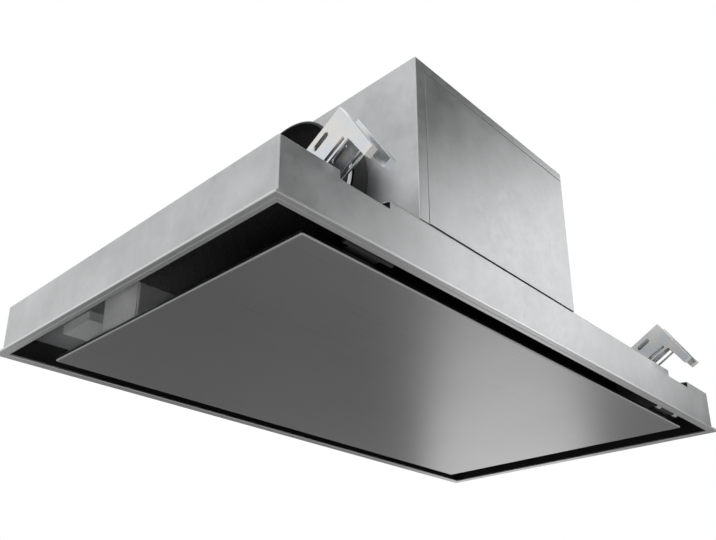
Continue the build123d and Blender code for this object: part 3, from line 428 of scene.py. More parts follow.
@dataclass(frozen=True)
class ZincPlate(Finish):
    """Bright zinc plating on small folded and turned pieces."""

    name: str = "bright_zinc"
    colour: Colour = (0.74, 0.75, 0.76)
    roughness: float = 0.24
    metallic: float = 1.0
    edge_radius: float = 0.5 * MM
    # Painted highlight along the edges
    edge_light_and_wear_colour: Colour = (0.97, 0.97, 0.97)
    edge_share: float = 0.8
    cool: Colour = (0.94, 0.99, 1.04)  # tints, as factors of the plain colour
    warm: Colour = (1.03, 1.0, 0.95)

    def pattern(self, graph: Graph) -> dict[str, Any]:
        """Bright metal with faint passivation tints and drawing lines."""
        tint = graph.noise(graph.place(), scale=45.0)
        lines = graph.lines((260.0, 900.0, 260.0), rough=0.6)
        cool = tuple(part * factor for part, factor in zip(self.colour, self.cool))
        warm = tuple(part * factor for part, factor in zip(self.colour, self.warm))
        return {
            "Base Color": graph.mix(graph.ramp(tint, 0.35, 0.65), cool, warm),
            "Roughness": self.roughness + tint.swing(0.18) + lines.swing(0.08),
            "Height": (lines, 0.01 * MM),
        }


@dataclass(frozen=True)
class PaintedLightSheet(Finish):
    """Near-black sheet with another colour inside a rectangle of the hood's X and Y: painted shade
    around uncoated zinc on the hinge, a black coat around a painted reflection on the wells.
    """

    name: str = "painted_light_sheet"
    colour: Colour = (0.016, 0.016, 0.017)
    roughness: float = 0.40
    edge_radius: float = 0.5 * MM
    gloss: float = 0.3
    rubbed: Colour = (0.04, 0.04, 0.04)
    bare_and_reflection_colour: Colour = (0.60, 0.61, 0.62)
    bare_and_reflection_metallic: float = 1.0
    dull: float = 0.8  # share of the inner colour in its darker clouds
    low: Pair = field(kw_only=True)  # X and Y where the inner part begins
    high: Pair = field(kw_only=True)  # and where it ends

    def pattern(self, graph: Graph) -> dict[str, Any]:
        """The inner colour inside the limits, and a thin near-black satin on the rest."""
        where = graph.place()
        x, y = (graph.node("ShaderNodeSeparateXYZ", sockets={0: where}, output=way) for way in "XY")
        inside = (x > self.low[0]) * (x < self.high[0])
        inside = inside * (y > self.low[1]) * (y < self.high[1])
        rubs = graph.noise(where, scale=120.0, detail=4.0, rough=0.6)
        # Near-black: painted shade on the hinge, a black coat on the wells
        coat = graph.mix(graph.ramp(rubs, 0.35, 0.8), self.colour, self.rubbed)
        # Inner colour: uncoated zinc on the hinge, a painted reflection on the wells
        zinc = graph.mix(rubs, shade(self.bare_and_reflection_colour, self.dull), self.bare_and_reflection_colour)
        return {
            "Base Color": graph.mix(inside, coat, zinc),
            "Metallic": inside * self.bare_and_reflection_metallic,
            "Roughness": self.roughness + rubs.swing(0.2),
            "Height": (rubs, 0.02 * MM),
        }


@dataclass(frozen=True)
class BlackCoat(Finish):
    """Matt black powder coat on sheet, thinner along the edges."""

    name: str = "black_coat"
    colour: Colour = (0.016, 0.016, 0.017)
    roughness: float = 0.5
    gloss: float = 0.35
    edge_light_and_wear_colour: Colour = (0.09, 0.09, 0.09)
    edge_share: float = 0.5

    def pattern(self, graph: Graph) -> dict[str, Any]:
        """Orange-peel coat with a faintly uneven colour and gloss."""
        where = graph.place()
        peel = graph.noise(where, scale=420.0, detail=2.0)
        clouds = graph.noise(where, scale=18.0, detail=4.0)
        return {
            "Base Color": graph.mix(clouds, self.colour, shade(self.colour, 1.5)),
            "Roughness": self.roughness + clouds.swing(0.16),
            "Height": (peel, 0.04 * MM),
        }


@dataclass(frozen=True)
class MouldedPlastic(Finish):
    """Spark-eroded black moulding."""

    name: str = "moulded_black"
    colour: Colour = (0.012, 0.012, 0.013)
    roughness: float = 0.42
    gloss: float = 0.3
    dusty: Colour = (0.0232, 0.0232, 0.0248)

    def pattern(self, graph: Graph) -> dict[str, Any]:
        """Fine even grain with a slightly dusty, uneven gloss."""
        where = graph.place()
        grain = graph.noise(where, scale=900.0, detail=2.0)
        dust = graph.noise(where, scale=26.0, detail=4.0)
        return {
            "Base Color": graph.mix(graph.ramp(dust, 0.35, 0.75), self.colour, self.dusty),
            "Roughness": self.roughness + dust.swing(0.2),
            "Height": (grain, 0.03 * MM),
        }


@dataclass(frozen=True)
class OpenFoam(Finish):
    """Open-cell black foam, near-black partly as painted shade inside the hood."""

    name: str = "open_foam"
    colour: Colour = (0.03, 0.03, 0.031)
    roughness: float = 0.95
    edge_radius: float = 1.0 * MM
    cells: float = 620.0  # in a metre

    def pattern(self, graph: Graph) -> dict[str, Any]:
        """Small open cells, darker in their middles as painted shade."""
        pores = graph.node(
            "ShaderNodeTexVoronoi", None, {"Vector": graph.place(), "Scale": self.cells}, "Distance"
        )
        # Cell walls paler than the pores: painted shade in the pores
        pale = shade(self.colour, 2.4)
        return {
            "Base Color": graph.mix(graph.ramp(pores, 0.1, 0.6), self.colour, pale),
            "Height": (pores, 0.5 * MM),
        }


@dataclass(frozen=True)
class MillAluminium(Finish):
    """Rolled or pressed aluminium with a satin face."""

    name: str = "mill_aluminium"
    colour: Colour = (0.70, 0.70, 0.71)
    roughness: float = 0.34
    metallic: float = 1.0
    edge_radius: float = 0.5 * MM

    def pattern(self, graph: Graph) -> dict[str, Any]:
        """Rolling lines and light rubbing marks."""
        lines = graph.lines((30.0, 620.0, 620.0))
        rubs = graph.noise(graph.place(), scale=70.0, detail=5.0, rough=0.65)
        dull = shade(self.colour, 0.82)
        return {
            "Base Color": graph.mix(graph.ramp(rubs, 0.35, 0.7), dull, self.colour),
            "Roughness": self.roughness + rubs.swing(0.22) + lines.swing(0.08),
            "Height": (lines, 0.015 * MM),
        }


@dataclass(frozen=True)
class SoftRubber(Finish):
    """Dull black rubber with bloom."""

    name: str = "soft_rubber"
    colour: Colour = (0.035, 0.035, 0.036)
    roughness: float = 0.75
    bloomed: Colour = (0.08, 0.08, 0.08)

    def pattern(self, graph: Graph) -> dict[str, Any]:
        """Matt black with a greyish bloom in patches."""
        bloom = graph.noise(graph.place(), scale=160.0, detail=4.0)
        return {
            "Base Color": graph.mix(graph.ramp(bloom, 0.4, 0.8), self.colour, self.bloomed),
            "Roughness": self.roughness - bloom.swing(0.2),
            "Height": (bloom, 0.06 * MM),
        }


@dataclass(frozen=True)
class PaleCase(Finish):
    """Off-white moulded case of the capacitor."""

    name: str = "pale_case"
    colour: Colour = (0.72, 0.71, 0.67)
    roughness: float = 0.32

    def pattern(self, graph: Graph) -> dict[str, Any]:
        """Glossy pale plastic with faint flow marks."""
        flow = graph.lines((40.0, 160.0, 160.0))
        return {
            "Base Color": graph.mix(flow, shade(self.colour, 0.9), self.colour),
            "Roughness": self.roughness + flow.swing(0.12),
            "Height": (flow, 0.03 * MM),
        }


@dataclass(frozen=True)
class SolderMask(Finish):
    """Green circuit board with tracks under its mask."""

    name: str = "solder_mask"
    colour: Colour = (0.03, 0.17, 0.09)
    roughness: float = 0.375
    edge_radius: float = 0.4 * MM
    tracks: float = 260.0  # in a metre

    def pattern(self, graph: Graph) -> dict[str, Any]:
        """Straight tracks a shade lighter than the mask between them."""
        cells = graph.node(
            "ShaderNodeTexVoronoi",
            {"distance": "CHEBYCHEV"},
            {"Vector": graph.place(), "Scale": self.tracks},
            "Distance",
        )
        track = graph.ramp(cells, 0.28, 0.36)
        return {
            "Base Color": graph.mix(track, self.colour, shade(self.colour, 1.7)),
            "Roughness": self.roughness + track.swing(0.15),
            "Height": (track, 0.03 * MM),
        }


FINISHES: dict[str, Finish] = {
    "stainless": BrushedSteel(),
    "galvanised": GalvanisedSheet(),
    "zinc": ZincPlate(),
    "black_metal": BlackCoat(),
    "foam": OpenFoam(),
    "aluminium": MillAluminium(),
    "bright_band": ZincPlate("polished_band", (0.86, 0.86, 0.87), roughness=0.12),
    "black_plastic": MouldedPlastic(),
    "rubber": SoftRubber(),
    "capacitor_can": PaleCase(),
    "board": SolderMask(),
}

# Pale, nearly non-metallic sheet in place of galvanised metal: a painted reflection of the light in
# the dark corner of the tray
REFLECTION_PAINTED_SHEET: Colour = (0.88, 0.885, 0.89)

# Nodes finished otherwise than the rest of their slot
NODE_FINISHES: dict[str, Finish] = {
    "trim_frame": BrushedSteel(
        "trim_stainless",
        (0.66, 0.66, 0.665),
        roughness=0.33,
        edge_radius=0.6 * MM,
        # Edges darker than the face: painted shade that tones down the edge's reflection
        edge_light_and_wear_colour=(0.594, 0.594, 0.5985),
    ),
    # The electronics box and its cover are pale as painted reflection
    "electronics_box": GalvanisedSheet("reflection_painted_sheet", REFLECTION_PAINTED_SHEET, roughness=0.5, metallic=0.3),
    "electronics_cover": GalvanisedSheet("reflection_painted_cover", REFLECTION_PAINTED_SHEET, roughness=0.5, metallic=0.1),
    # The arms of the right hinge are uncoated zinc, and its plate on the wall is painted black as
    # painted shade
    "hinge_frame_leaves": PaintedLightSheet("coated_hinge", low=(0.25, -0.2396), high=(0.40, 0.0)),
    # The panel's leaves and the hinge pins are painted black as painted shade
    "hinge_panel_leaves": BlackCoat("shade_painted_leaf"),
    "hinge_pins": BlackCoat("shade_painted_pin"),
    # The well beside the electronics box is pale inside a rectangle: a painted reflection of the
    # light in the gap
    "bracket_wells": PaintedLightSheet(
        "coated_wells", low=(-0.40, 0.15), high=(-0.29, 0.25), bare_and_reflection_colour=REFLECTION_PAINTED_SHEET, bare_and_reflection_metallic=0.3
    ),
}


@dataclass
class Wardrobe:
    """Materials by the slot or node that they belong to, each made once."""

    record: dict
    made: dict[str, bpy.types.Material] = field(default_factory=dict)

    def finish(self, owner: str) -> bpy.types.Material:
        """Looks a material up, and makes it the first time.

        Args:
            owner: a slot, or a node with a finish of its own.

        Returns:
            The material.
        """
        if owner not in self.made:
            chosen = NODE_FINISHES[owner] if owner in NODE_FINISHES else FINISHES[owner]
            self.made[owner] = chosen.material()
        return self.made[owner]

    def dress_frame(self, nodes: Mapping[str, bpy.types.Object]) -> None:
        """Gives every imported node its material.

        Args:
            nodes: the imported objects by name.
        """
        for part in self.record["subparts"]:
            name = part["node"]
            owner = name if name in NODE_FINISHES else part["material_slot"]
            nodes[name].data.materials.clear()
            nodes[name].data.materials.append(self.finish(owner))
            LOG.info("dressed %s as %s", name, owner)


# ---- surfaces

Shape = tuple[np.ndarray, np.ndarray]  # points and the quads over them


def grid_quads(rows: int, columns: int, loop: bool = False) -> np.ndarray:
    """Quads over a grid of points that are numbered row by row.

    Quad (i, j) joins points (i, j), (i, j + 1), (i + 1, j + 1) and (i + 1, j).

    Args:
        rows: rows of points.
        columns: points in a row.
        loop: whether the last column joins the first.

    Returns:
        The quads, four numbers each.
    """
    first = np.arange(rows - 1)[:, None] * columns
    near = np.arange(columns if loop else columns - 1)[None, :]
    far = (near + 1) % columns
    return np.stack(
        [first + near, first + far, first + columns + far, first + columns + near], -1
    ).reshape(-1, 4)


def join(shapes: Sequence[Shape]) -> Shape:
    """Several shapes as one.

    Args:
        shapes: the shapes in order.

    Returns:
        All their points, and their quads renumbered past the points before them.
    """
    starts = np.cumsum([0] + [len(points) for points, _ in shapes[:-1]])
    points = np.concatenate([points for points, _ in shapes])
    return points, np.concatenate([quads + start for (_, quads), start in zip(shapes, starts)])


def sweep(paths: np.ndarray, section: np.ndarray) -> Shape:
    """Carries a four-cornered section along many paths at once.

    Point (s, k, c) is station k of path s plus corner c. Quads join neighbouring corners of
    neighbouring stations, and one more closes each end.

    Args:
        paths: paths, stations and coordinates.
        section: its four corners, counter-clockwise as seen from a path's far end.

    Returns:
        The closed strands.
    """
    count, stations, _ = paths.shape
    points = (paths[:, :, None, :] + section[None, None, :, :]).reshape(-1, 3)
    strand = grid_quads(stations, 4, loop=True)
    ends = np.array([[3, 2, 1, 0], np.arange(4) + (stations - 1) * 4])
    quads = np.concatenate([strand, ends])
    starts = np.arange(count)[:, None, None] * stations * 4
    return points, (quads[None] + starts).reshape(-1, 4)


def triangle_wave(turns: np.ndarray) -> np.ndarray:
    """Wave that is 1 at each whole turn and falls evenly to 0 halfway."""
    return np.abs(turns % 1.0 * 2.0 - 1.0)


@dataclass(frozen=True)
class Place:
    """Where a turned shape stands, and the three directions of its own frame."""

    origin: Point
    across: Point
    up: Point
    axis: Point

    def put(self, radial: np.ndarray, angle: np.ndarray, along: np.ndarray) -> np.ndarray:
        """Puts a turned surface in its place.

        A point is origin + radial * (cos angle * across + sin angle * up) + along * axis.

        Args:
            radial: distances from the axis.
            angle: angles round it, from across towards up.
            along: distances along it.

        Returns:
            The points, one in a row.
        """
        across, up, axis = (np.array(way) for way in (self.across, self.up, self.axis))
        turned = np.cos(angle)[..., None] * across + np.sin(angle)[..., None] * up
        points = radial[..., None] * turned + along[..., None] * axis + np.array(self.origin)
        return points.reshape(-1, 3)


@dataclass
class Workshop:
    """Makes finished pieces out of shapes."""

    wardrobe: Wardrobe
    weld_reach: float = 0.001 * MM

    def piece(
        self, name: str, shape: Shape, body: str, slot: str, crease: float = 35.0, weld: bool = True
    ) -> bpy.types.Object:
        """Turns a shape into a piece that rides on a body.

        Args:
            name: the piece's name.
            shape: its points in metres and its quads.
            body: the body that carries it.
            slot: the slot that it takes its finish from.
            crease: degrees past which an edge stays sharp.
            weld: whether points in one place become one.

        Returns:
            The piece.
        """
        points, quads = shape
        mesh = bpy.data.meshes.new(name)
        mesh.from_pydata(points.tolist(), [], quads.tolist())
        if weld:
            soft = bmesh.new()
            soft.from_mesh(mesh)
            bmesh.ops.remove_doubles(soft, verts=soft.verts, dist=self.weld_reach)
            bmesh.ops.recalc_face_normals(soft, faces=soft.faces)
            soft.to_mesh(mesh)
            soft.free()
        mesh.validate()
        mesh.shade_smooth()
        mesh.set_sharp_from_angle(angle=math.radians(crease))
        mesh.materials.append(self.wardrobe.finish(slot))
        made = add_object(name, mesh)
        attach(made, body)
        LOG.info("built %s with %d faces on %s", name, len(mesh.polygons), body)
        return made


# ---- added pieces


@dataclass
class FilterPads:
    """Stacks of expanded-metal layers in the two grease filters."""

    span_x: float = 273.2 * MM
    low_y: float = -151.5 * MM
    high_y: float = 130.8 * MM
    centre_x: float = 149.9 * MM
    levels: tuple[float, float, float] = (34.1 * MM, 36.0 * MM, 37.9 * MM)
    margin: float = 1.6 * MM
    pitch: float = 5.6 * MM
    half_mesh: float = 6.2 * MM
    finer: float = 0.8  # mesh of the middle layer, as a share of the others'
    strand: Pair = (1.3 * MM, 0.5 * MM)
    short: float = 0.3  # share of a strand's width by which a crest misses half the pitch
    tilt: float = 24.0  # degrees

    def layer(self, length: float, width: float, level: float, pitch: float, step: float) -> Shape:
        """One layer of diamonds round the origin, its long diamonds along X.

        Strand r is a zigzag: at station k, y is its row's own plus amplitude * (-1) ** (k + r).
        Rows and stations are spread evenly, so crests of one strand meet the troughs of the next,
        and the section leans over by the tilt.

        Args:
            length: the layer's size along X.
            width: its size along Y.
            level: its height.
            pitch: about how far the rows are apart.
            step: about how far the stations are apart.

        Returns:
            The layer's strands.
        """
        rows, stations = int(width // pitch), int(length // step) + 1
        xs = np.linspace(-length / 2, length / 2, stations)
        ys = (np.arange(rows) - (rows - 1) / 2) * (width - pitch) / (rows - 1)
        turn = (-1.0) ** (np.arange(stations)[None, :] + np.arange(rows)[:, None])
        amplitude = pitch / 2 - self.short * self.strand[0]
        y = ys[:, None] + amplitude * turn
        paths = np.stack([np.broadcast_to(xs, y.shape), y, np.full_like(y, level)], -1)
        lean = math.radians(self.tilt)
        wide = np.array([0.0, math.cos(lean), math.sin(lean)]) * self.strand[0] / 2
        thick = np.array([0.0, -math.sin(lean), math.cos(lean)]) * self.strand[1] / 2
        section = np.array([-wide - thick, wide - thick, wide + thick, -wide + thick])
        return sweep(paths, section)

    def pad(self, side: float) -> Shape:
        """Three layers, the middle one turned by a quarter and finer.

        Args:
            side: -1 for the left filter and 1 for the right one.

        Returns:
            The pad in its place.
        """
        width = self.high_y - self.low_y
        centre = np.array([side * self.centre_x, (self.low_y + self.high_y) / 2, 0.0])
        lowest, highest = (
            self.layer(self.span_x, width - self.margin, level, self.pitch, self.half_mesh)
            for level in (self.levels[0], self.levels[2])
        )
        pitch, step = self.finer * self.pitch, self.finer * self.half_mesh
        points, quads = self.layer(width, self.span_x - self.margin, self.levels[1], pitch, step)
        turned = np.stack([-points[:, 1], points[:, 0], points[:, 2]], -1)
        points, quads = join([lowest, (turned, quads), highest])
        return points + centre, quads

    def build(self, workshop: Workshop) -> None:
        """Makes both pads and lets them stand for the plain ones.

        Args:
            workshop: where they are made.
        """
        for name, side in (("left", -1.0), ("right", 1.0)):
            made = workshop.piece(
                f"filter_pad_{name}", self.pad(side), "hood", "aluminium", crease=20.0, weld=False
            )
            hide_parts(f"filter_mesh_{name}")


@dataclass
class CrossHeads:
    """Domed screw heads with a cross recess."""

    rings: int = 15
    spokes: int = 64
    dome: float = 0.45  # share of the height that the dome takes
    recess: float = 0.55  # share of the height that the cross goes down
    twist: float = 0.4  # radians that the cross is turned by
    # In shares of the head's radius
    arm_width: float = 0.30
    arm_reach: float = 0.60
    blend: float = 0.05  # over which the cross's walls fall

    def head(self, place: Place, radius: float, height: float) -> Shape:
        """One head.

        Along the axis it rises as height * (1 - dome * (r / radius) ** 2), less a cross whose arms
        are as wide and as long as the shares say; a skirt and a flat foot close it.

        Args:
            place: where it stands.
            radius: its radius.
            height: its height in the middle.

        Returns:
            The closed head.
        """
        angle = np.linspace(0.0, math.tau, self.spokes, endpoint=False)
        reach = np.linspace(0.0, 1.0, self.rings)
        share, turn = np.meshgrid(reach, angle, indexing="ij")
        across = np.abs(share * np.cos(turn + self.twist))
        along = np.abs(share * np.sin(turn + self.twist))
        side = self.arm_width / 2 - np.minimum(across, along)
        end = self.arm_reach - np.maximum(across, along)
        cut = np.clip(side / self.blend + 0.5, 0.0, 1.0) * np.clip(end / self.blend + 0.5, 0.0, 1.0)
        rise = height * (1.0 - self.dome * share**2) - self.recess * height * cut
        foot = np.zeros((1, self.spokes))
        share = np.concatenate([share, foot + 1.0, foot])
        turn = np.concatenate([turn, turn[:1], turn[:1]])
        rise = np.concatenate([rise, foot, foot])
        points = place.put(share * radius, turn, rise)
        return points, grid_quads(self.rings + 2, self.spokes, loop=True)


@dataclass
class ScrewSets:
    """Screws of the fan box's cover and of the panel's hinges."""

    heads: CrossHeads = field(default_factory=CrossHeads)
    box_face: float = 37.5 * MM
    # Y and Z in mm
    box_places: Pairs = (
        (-193.0, 246.0), (-74.0, 246.0), (28.0, 246.0), (76.0, 102.4), (76.0, 192.2)
    )
    box_size: Pair = (3.5 * MM, 1.8 * MM)  # radius and height
    leaf_face: float = -239.8 * MM
    leaf_places: tuple[float, ...] = (-337.0, -297.0, 297.0, 337.0)  # X in mm
    leaf_height: float = 18.5 * MM
    leaf_size: Pair = (3.0 * MM, 1.2 * MM)

    def build(self, workshop: Workshop) -> None:
        """Makes both sets and lets them stand for the plain discs.

        Args:
            workshop: where they are made.
        """
        places = [
            Place((self.box_face, y * MM, z * MM), (0, 1, 0), (0, 0, 1), (1, 0, 0))
            for y, z in self.box_places
        ]
        box = join([self.heads.head(place, *self.box_size) for place in places])
        made = workshop.piece("fan_box_cross_heads", box, "hood", "zinc")
        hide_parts("fan_box_screws")
        places = [
            Place((x * MM, self.leaf_face, self.leaf_height), (0, 0, 1), (1, 0, 0), (0, 1, 0))
            for x in self.leaf_places
        ]
        leaf = join([self.heads.head(place, *self.leaf_size) for place in places])
        made = workshop.piece("hinge_cross_heads", leaf, "hood", "zinc")
        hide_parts("hinge_screws")


class Outline(Enum):
    """Outline of the gland's section at one ring."""

    ROUND = auto()
    HEX = auto()
    RIBBED = auto()


class Ring(NamedTuple):
    """One ring of the gland: distance along the axis, radius to the corners and outline."""

    along: float
    radius: float
    outline: Outline = Outline.ROUND


@dataclass
class CordGland:
    """Gland of the mains cord: hexagonal nuts, a threaded stem and a ribbed cap."""

    place: Place = Place((10.0 * MM, 0.0, 97.8 * MM), (1, 0, 0), (0, 0, -1), (0, 1, 0))
    spokes: int = 144
    bore: float = 3.5 * MM
    stem: float = 6.0 * MM
    stem_end: float = 84.0 * MM
    stem_slack: float = 0.1 * MM  # by which its plain part is thinner
    thread: Pair = (84.4 * MM, 89.7 * MM)
    thread_pitch: float = 1.5 * MM
    thread_depth: float = 0.4 * MM
    nut: float = 10.45 * MM
    # Chamfered nuts: distance along the axis in mm, and share of the nut's radius
    inner_nut: Pairs = ((89.8, 0.9), (90.2, 1.0), (94.4, 1.0), (94.8, 0.9))
    outer_nut: Pairs = ((96.0, 1.0), (101.2, 1.0), (102.0, 0.9))
    cap: float = 8.0 * MM
    # Cap: distance along the axis in mm, and how far below its radius in mm
    cap_rim: Pairs = ((102.0, 0.9), (102.6, 0.9))
    cap_ribbed: Pair = (102.8, 107.6)
    cap_dome: Pairs = ((108.8, 0.5), (110.2, 1.5), (110.9, 2.7))
    mouth: Pairs = ((111.0, 0.4), (110.6, 0.0))  # but how far above the bore's radius
    ribs: int = 24
    rib_depth: float = 0.35 * MM

    def profile(self) -> list[Ring]:
        """Closed section of the gland; the thread's radius is a triangle wave along the axis.

        Returns:
            Its rings, from the bore's inner end over the outside and back.
        """
        stem, bore, cap = self.stem, self.bore, self.cap
        turns = np.arange(*self.thread, self.thread_pitch / 4)
        depths = self.thread_depth * triangle_wave(turns / self.thread_pitch)
        inner_nut, outer_nut = (
            [Ring(y * MM, self.nut * share, Outline.HEX) for y, share in nut]
            for nut in (self.inner_nut, self.outer_nut)
        )
        return [
            Ring(self.stem_end, bore),
            Ring(self.stem_end, stem - self.thread_depth),
            *(Ring(y, stem - depth) for y, depth in zip(turns, depths)),
            Ring(inner_nut[0].along, stem - 2 * self.stem_slack),
            *inner_nut,
            Ring(inner_nut[-1].along, stem - self.stem_slack),
            Ring(outer_nut[0].along, stem - self.stem_slack),
            *outer_nut,
            *(Ring(y * MM, cap - drop * MM) for y, drop in self.cap_rim),
            *(Ring(y * MM, cap, Outline.RIBBED) for y in self.cap_ribbed),
            *(Ring(y * MM, cap - drop * MM) for y, drop in self.cap_dome),
            *(Ring(y * MM, bore + rise * MM) for y, rise in self.mouth),
            Ring(self.stem_end, bore),
        ]

    def shape(self) -> Shape:
        """The closed surface over ring and angle.

        Round rings keep their radius. On a hexagon it is radius * cos 30 / cos(a - 30), where a
        is the angle past the last corner. On the ribbed ones a triangle wave cuts each rib.

        Returns:
            The gland in its place.
        """
        along, radius, outline = (np.array(column) for column in zip(*self.profile()))
        angle = np.linspace(0.0, math.tau, self.spokes, endpoint=False)
        along, turn = np.meshgrid(along, angle, indexing="ij")
        radius = radius[:, None] * np.ones_like(turn)
        past = turn % (math.tau / 6) - math.tau / 12
        hexed = radius * math.cos(math.tau / 12) / np.cos(past)
        ribbed = radius - self.rib_depth * triangle_wave(turn * self.ribs / math.tau)
        radius = np.where((outline == Outline.HEX)[:, None], hexed, radius)
        radius = np.where((outline == Outline.RIBBED)[:, None], ribbed, radius)
        return self.place.put(radius, turn, along), grid_quads(len(outline), self.spokes, loop=True)

    def build(self, workshop: Workshop) -> None:
        """Makes the gland in place of the plain one."""
        made = workshop.piece("ribbed_gland", self.shape(), "hood", "black_plastic", crease=28.0)
        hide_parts("cable_gland")


@dataclass
class DampingMat:
    """Egg-crate foam under the tray's top, with every size in mm."""

    low: Pair = (-440.8, -240.8)
    high: Pair = (440.8, 240.8)
    under: float = 57.3
    top: float = 61.3
    pitch: float = 17.0
    depth: float = 1.7
    spacing: float = 3.4  # of the grid
    nearest: float = 0.8  # that an even grid line may come to a cut
    # Cut-outs: the filter housing, the electronics corner and the four bracket wells
    holes: tuple[tuple[float, float, float, float], ...] = (
        (-301.0, -166.0, 301.0, 166.0),
        (-441.0, 65.0, -301.0, 241.0),
        (-374.5, -241.0, -301.5, -179.0),
        (301.5, -241.0, 374.5, -179.0),
        (301.5, 179.0, 374.5, 241.0),
    )

    def lines(self, low: float, high: float, cuts: Sequence[float]) -> np.ndarray:
        """Grid lines at an even spacing, with one on every cut.

        Args:
            low: the first line.
            high: the last line.
            cuts: where the cut-outs begin and end.

        Returns:
            The lines in order.
        """
        even = np.linspace(low, high, int((high - low) / self.spacing) + 1)
        cuts = np.array([cut for cut in cuts if low < cut < high])
        far = np.abs(even[:, None] - cuts[None, :]).min(1) > self.nearest
        far[[0, -1]] = True
        return np.unique(np.concatenate([even[far], cuts]))

    def shape(self) -> Shape:
        """Closed mat whose lower face is z = under + depth * (1 + cos(kx) * cos(ky)) / 2.

        Cells inside a cut-out are left out, and where a kept cell meets a missing one a wall
        joins the lower face to the flat upper one.

        Returns:
            The mat in metres.
        """
        xs = self.lines(self.low[0], self.high[0], [h[i] for h in self.holes for i in (0, 2)])
        ys = self.lines(self.low[1], self.high[1], [h[i] for h in self.holes for i in (1, 3)])
        x, y = np.meshgrid(xs, ys, indexing="ij")
        turn = math.tau / self.pitch
        lower = self.under + self.depth * (1.0 + np.cos(turn * x) * np.cos(turn * y)) / 2
        upper = np.full_like(x, self.top)
        points = np.stack([[x, y, lower], [x, y, upper]]).transpose(0, 2, 3, 1).reshape(-1, 3)
        cell_x, cell_y = np.meshgrid((xs[1:] + xs[:-1]) / 2, (ys[1:] + ys[:-1]) / 2, indexing="ij")
        kept = np.ones(cell_x.shape, bool)
        for left, front, right, back in self.holes:
            kept &= ~((cell_x > left) & (cell_x < right) & (cell_y > front) & (cell_y < back))
        quads = grid_quads(len(xs), len(ys))[kept.ravel()]
        lift = x.size
        # An edge that only one kept cell uses bounds the mat
        edges = np.concatenate([quads[:, [i, (i + 1) % 4]] for i in range(4)])
        _, which, uses = np.unique(
            np.sort(edges, 1), axis=0, return_inverse=True, return_counts=True
        )
        rim = edges[uses[which.ravel()] == 1]
        walls = np.stack([rim[:, 0], rim[:, 1], rim[:, 1] + lift, rim[:, 0] + lift], -1)
        return points * MM, np.concatenate([quads, quads[:, ::-1] + lift, walls])

    def build(self, workshop: Workshop) -> None:
        """Makes the mat in place of the flat one."""
        made = workshop.piece("egg_crate_mat", self.shape(), "hood", "foam", crease=60.0)
        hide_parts("sound_mat")


# ---- studio


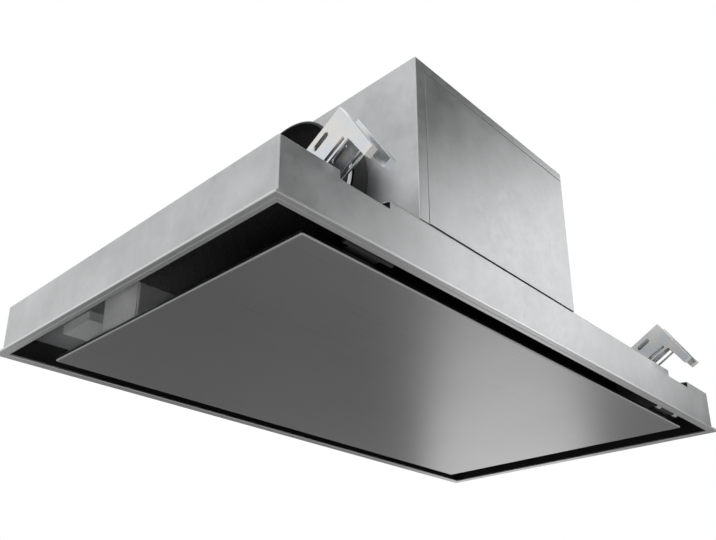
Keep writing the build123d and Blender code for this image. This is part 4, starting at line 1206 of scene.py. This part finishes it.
@dataclass
class Studio:
    """Floor, lamps, world and camera."""

    floor_height: float = -2.2
    floor_size: float = 24.0
    floor_colour: Colour = (0.80, 0.80, 0.80)
    floor_roughness: float = 0.9
    floor_glow: float = 0.55  # share of the floor's own colour where it is seen
    ambient: Colour = (0.30, 0.30, 0.30)
    background: Colour = (1.0, 1.0, 1.0)
    camera_place: Point = (-0.8062, -0.6746, -0.3634)
    camera_yaw: float = 46.70  # degrees, from +Y towards +X
    camera_pitch: float = 21.07  # degrees above the horizon
    lens: float = 41.15
    shift: float = 0.14

    def build(self) -> None:
        """Makes the whole studio."""
        self.build_floor()
        self.build_world()
        self.build_lamps()
        self.build_cards()
        self.build_camera()

    @staticmethod
    def add_square(
        name: str, size: float, facing: Matrix, place: Point, made: bpy.types.Material
    ) -> bpy.types.Object:
        """Adds one square sheet that belongs to the studio and not to the hood.

        Args:
            name: its name.
            size: the length of its sides in metres.
            facing: how it is turned from lying flat.
            place: its middle.
            made: its material.

        Returns:
            The sheet.
        """
        half = size / 2
        corners = [(-half, -half, 0.0), (half, -half, 0.0), (half, half, 0.0), (-half, half, 0.0)]
        mesh = bpy.data.meshes.new(name)
        points = [tuple(facing @ Vector(corner) + Vector(place)) for corner in corners]
        mesh.from_pydata(points, [], [(0, 1, 2, 3)])
        mesh.materials.append(made)
        sheet = add_object(name, mesh)
        return sheet

    def build_floor(self) -> None:
        """Pale floor, far enough below for views from underneath."""
        made = new_material("pale_floor", self.floor_colour, roughness=self.floor_roughness)
        graph = Graph(made.node_tree)
        specks = graph.noise(graph.place(), scale=8.0, detail=4.0)
        speckled = graph.mix(specks, shade(self.floor_colour, 0.97), self.floor_colour)
        matt = graph.node(
            "ShaderNodeBsdfPrincipled",
            sockets={"Base Color": speckled, "Roughness": self.floor_roughness},
        )
        factor = graph.seen_directly() * self.floor_glow
        pale = graph.glow(self.floor_colour)
        graph.show(graph.node("ShaderNodeMixShader", sockets={0: factor, 1: matt, 2: pale}))
        level = Matrix.Identity(3)
        self.add_square("floor", self.floor_size, level, (0.0, 0.0, self.floor_height), made)

    def build_world(self) -> None:
        """White where it is seen or mirrored, and a soft grey light elsewhere."""
        world = bpy.data.worlds.new("studio_world")
        bpy.context.scene.world = world
        world.use_nodes = True
        graph = Graph(world.node_tree)
        light = graph.mix(graph.seen_directly(), self.ambient, self.background)
        shader = graph.node("ShaderNodeBackground", sockets={"Color": light, "Strength": 1.0})
        graph.node("ShaderNodeOutputWorld", sockets={"Surface": shader})

    def add_lamp(
        self, name: str, place: Point, aim: Point, size: float, power: float, spread: float = 180.0
    ) -> None:
        """Adds one soft square lamp.

        Args:
            name: the lamp's name.
            place: where it stands.
            aim: the point that it faces.
            size: the length of its sides in metres.
            power: watts.
            spread: how wide it shines, in degrees.
        """
        data = bpy.data.lights.new(name, "AREA")
        data.size = size
        data.energy = power
        data.spread = math.radians(spread)
        lamp = add_object(name, data)
        lamp.location = place
        lamp.rotation_euler = (Vector(aim) - Vector(place)).to_track_quat("-Z", "Y").to_euler()
        lamp.visible_camera = False

    def build_lamps(self) -> None:
        """Soft lamps for the long wall, the top and the left, and a narrow one for the gap."""
        self.add_lamp("wall_lamp", (1.85, -1.45, 1.1), (0.1, -0.24, 0.08), size=1.1, power=7.0)
        self.add_lamp("top_lamp", (-0.4, 0.4, 2.2), (0.0, 0.0, 0.1), size=2.0, power=7.0)
        self.add_lamp("left_lamp", (-2.2, 0.2, 0.2), (-0.4, 0.0, 0.05), size=1.4, power=3.0)
        self.add_lamp(
            "gap_lamp", (-1.3, -0.1, -0.8), (-0.38, 0.19, 0.03), size=0.3, power=0.10, spread=16.0
        )

    def add_card(
        self, name: str, azimuth: float, elevation: float, distance: float, size: float, glow: float
    ) -> None:
        """Adds one grey card that only the metal's reflections show, facing the hood.

        Args:
            name: the card's name.
            azimuth: where it stands, in degrees from +X towards +Y.
            elevation: the same above the horizon.
            distance: from the hood's middle, in metres.
            size: the length of its sides in metres.
            glow: its even brightness, where the background is 1.
        """
        turn, lift = math.radians(azimuth), math.radians(elevation)
        flat = math.cos(lift) * distance
        place = (math.cos(turn) * flat, math.sin(turn) * flat, math.sin(lift) * distance)
        grey = (glow, glow, glow)
        made = new_material(name, grey)
        graph = Graph(made.node_tree)
        graph.show(graph.glow(grey))
        facing = (-Vector(place)).to_track_quat("-Z", "Y").to_matrix()
        card = self.add_square(name, size, facing, place, made)
        for ray in ("camera", "diffuse", "shadow", "transmission"):
            setattr(card, f"visible_{ray}", False)

    def build_cards(self) -> None:
        """Cards that the metal mirrors: three dark, one pale and one white."""
        for name, azimuth, elevation, distance, size, glow in (
            ("wall_card", -35.0, 34.0, 4.0, 5.0, 0.10),
            ("left_card", 142.0, 42.0, 3.5, 2.1, 0.86),
            ("panel_card", 58.0, -27.0, 2.6, 1.9, 0.16),
            ("glow_card", 36.0, -12.0, 3.2, 1.4, 1.0),
            ("corner_card", 12.0, -15.0, 2.8, 0.9, 0.15),
        ):
            self.add_card(name, azimuth, elevation, distance, size, glow)

    def build_camera(self) -> None:
        """Camera below the near corner, looking up."""
        data = bpy.data.cameras.new("camera")
        data.lens = self.lens
        data.shift_y = self.shift
        data.clip_start = 10.0 * MM
        camera = add_object("camera", data)
        camera.location = self.camera_place
        yaw, pitch = math.radians(self.camera_yaw), math.radians(self.camera_pitch)
        camera.rotation_euler = (math.pi / 2 + pitch, 0.0, -yaw)
        bpy.context.scene.camera = camera


def main() -> None:
    """Builds the studio and dresses the hood, piece by piece."""
    logging.basicConfig(level=logging.INFO, format="%(message)s")
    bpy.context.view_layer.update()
    bpy.context.scene.view_settings.view_transform = "Standard"
    Studio().build()
    wardrobe = Wardrobe(frame["record"])
    wardrobe.dress_frame(frame["nodes"])
    workshop = Workshop(wardrobe)
    for group in (FilterPads(), ScrewSets(), CordGland(), DampingMat()):
        group.build(workshop)


if __name__ == "__main__":
    main()
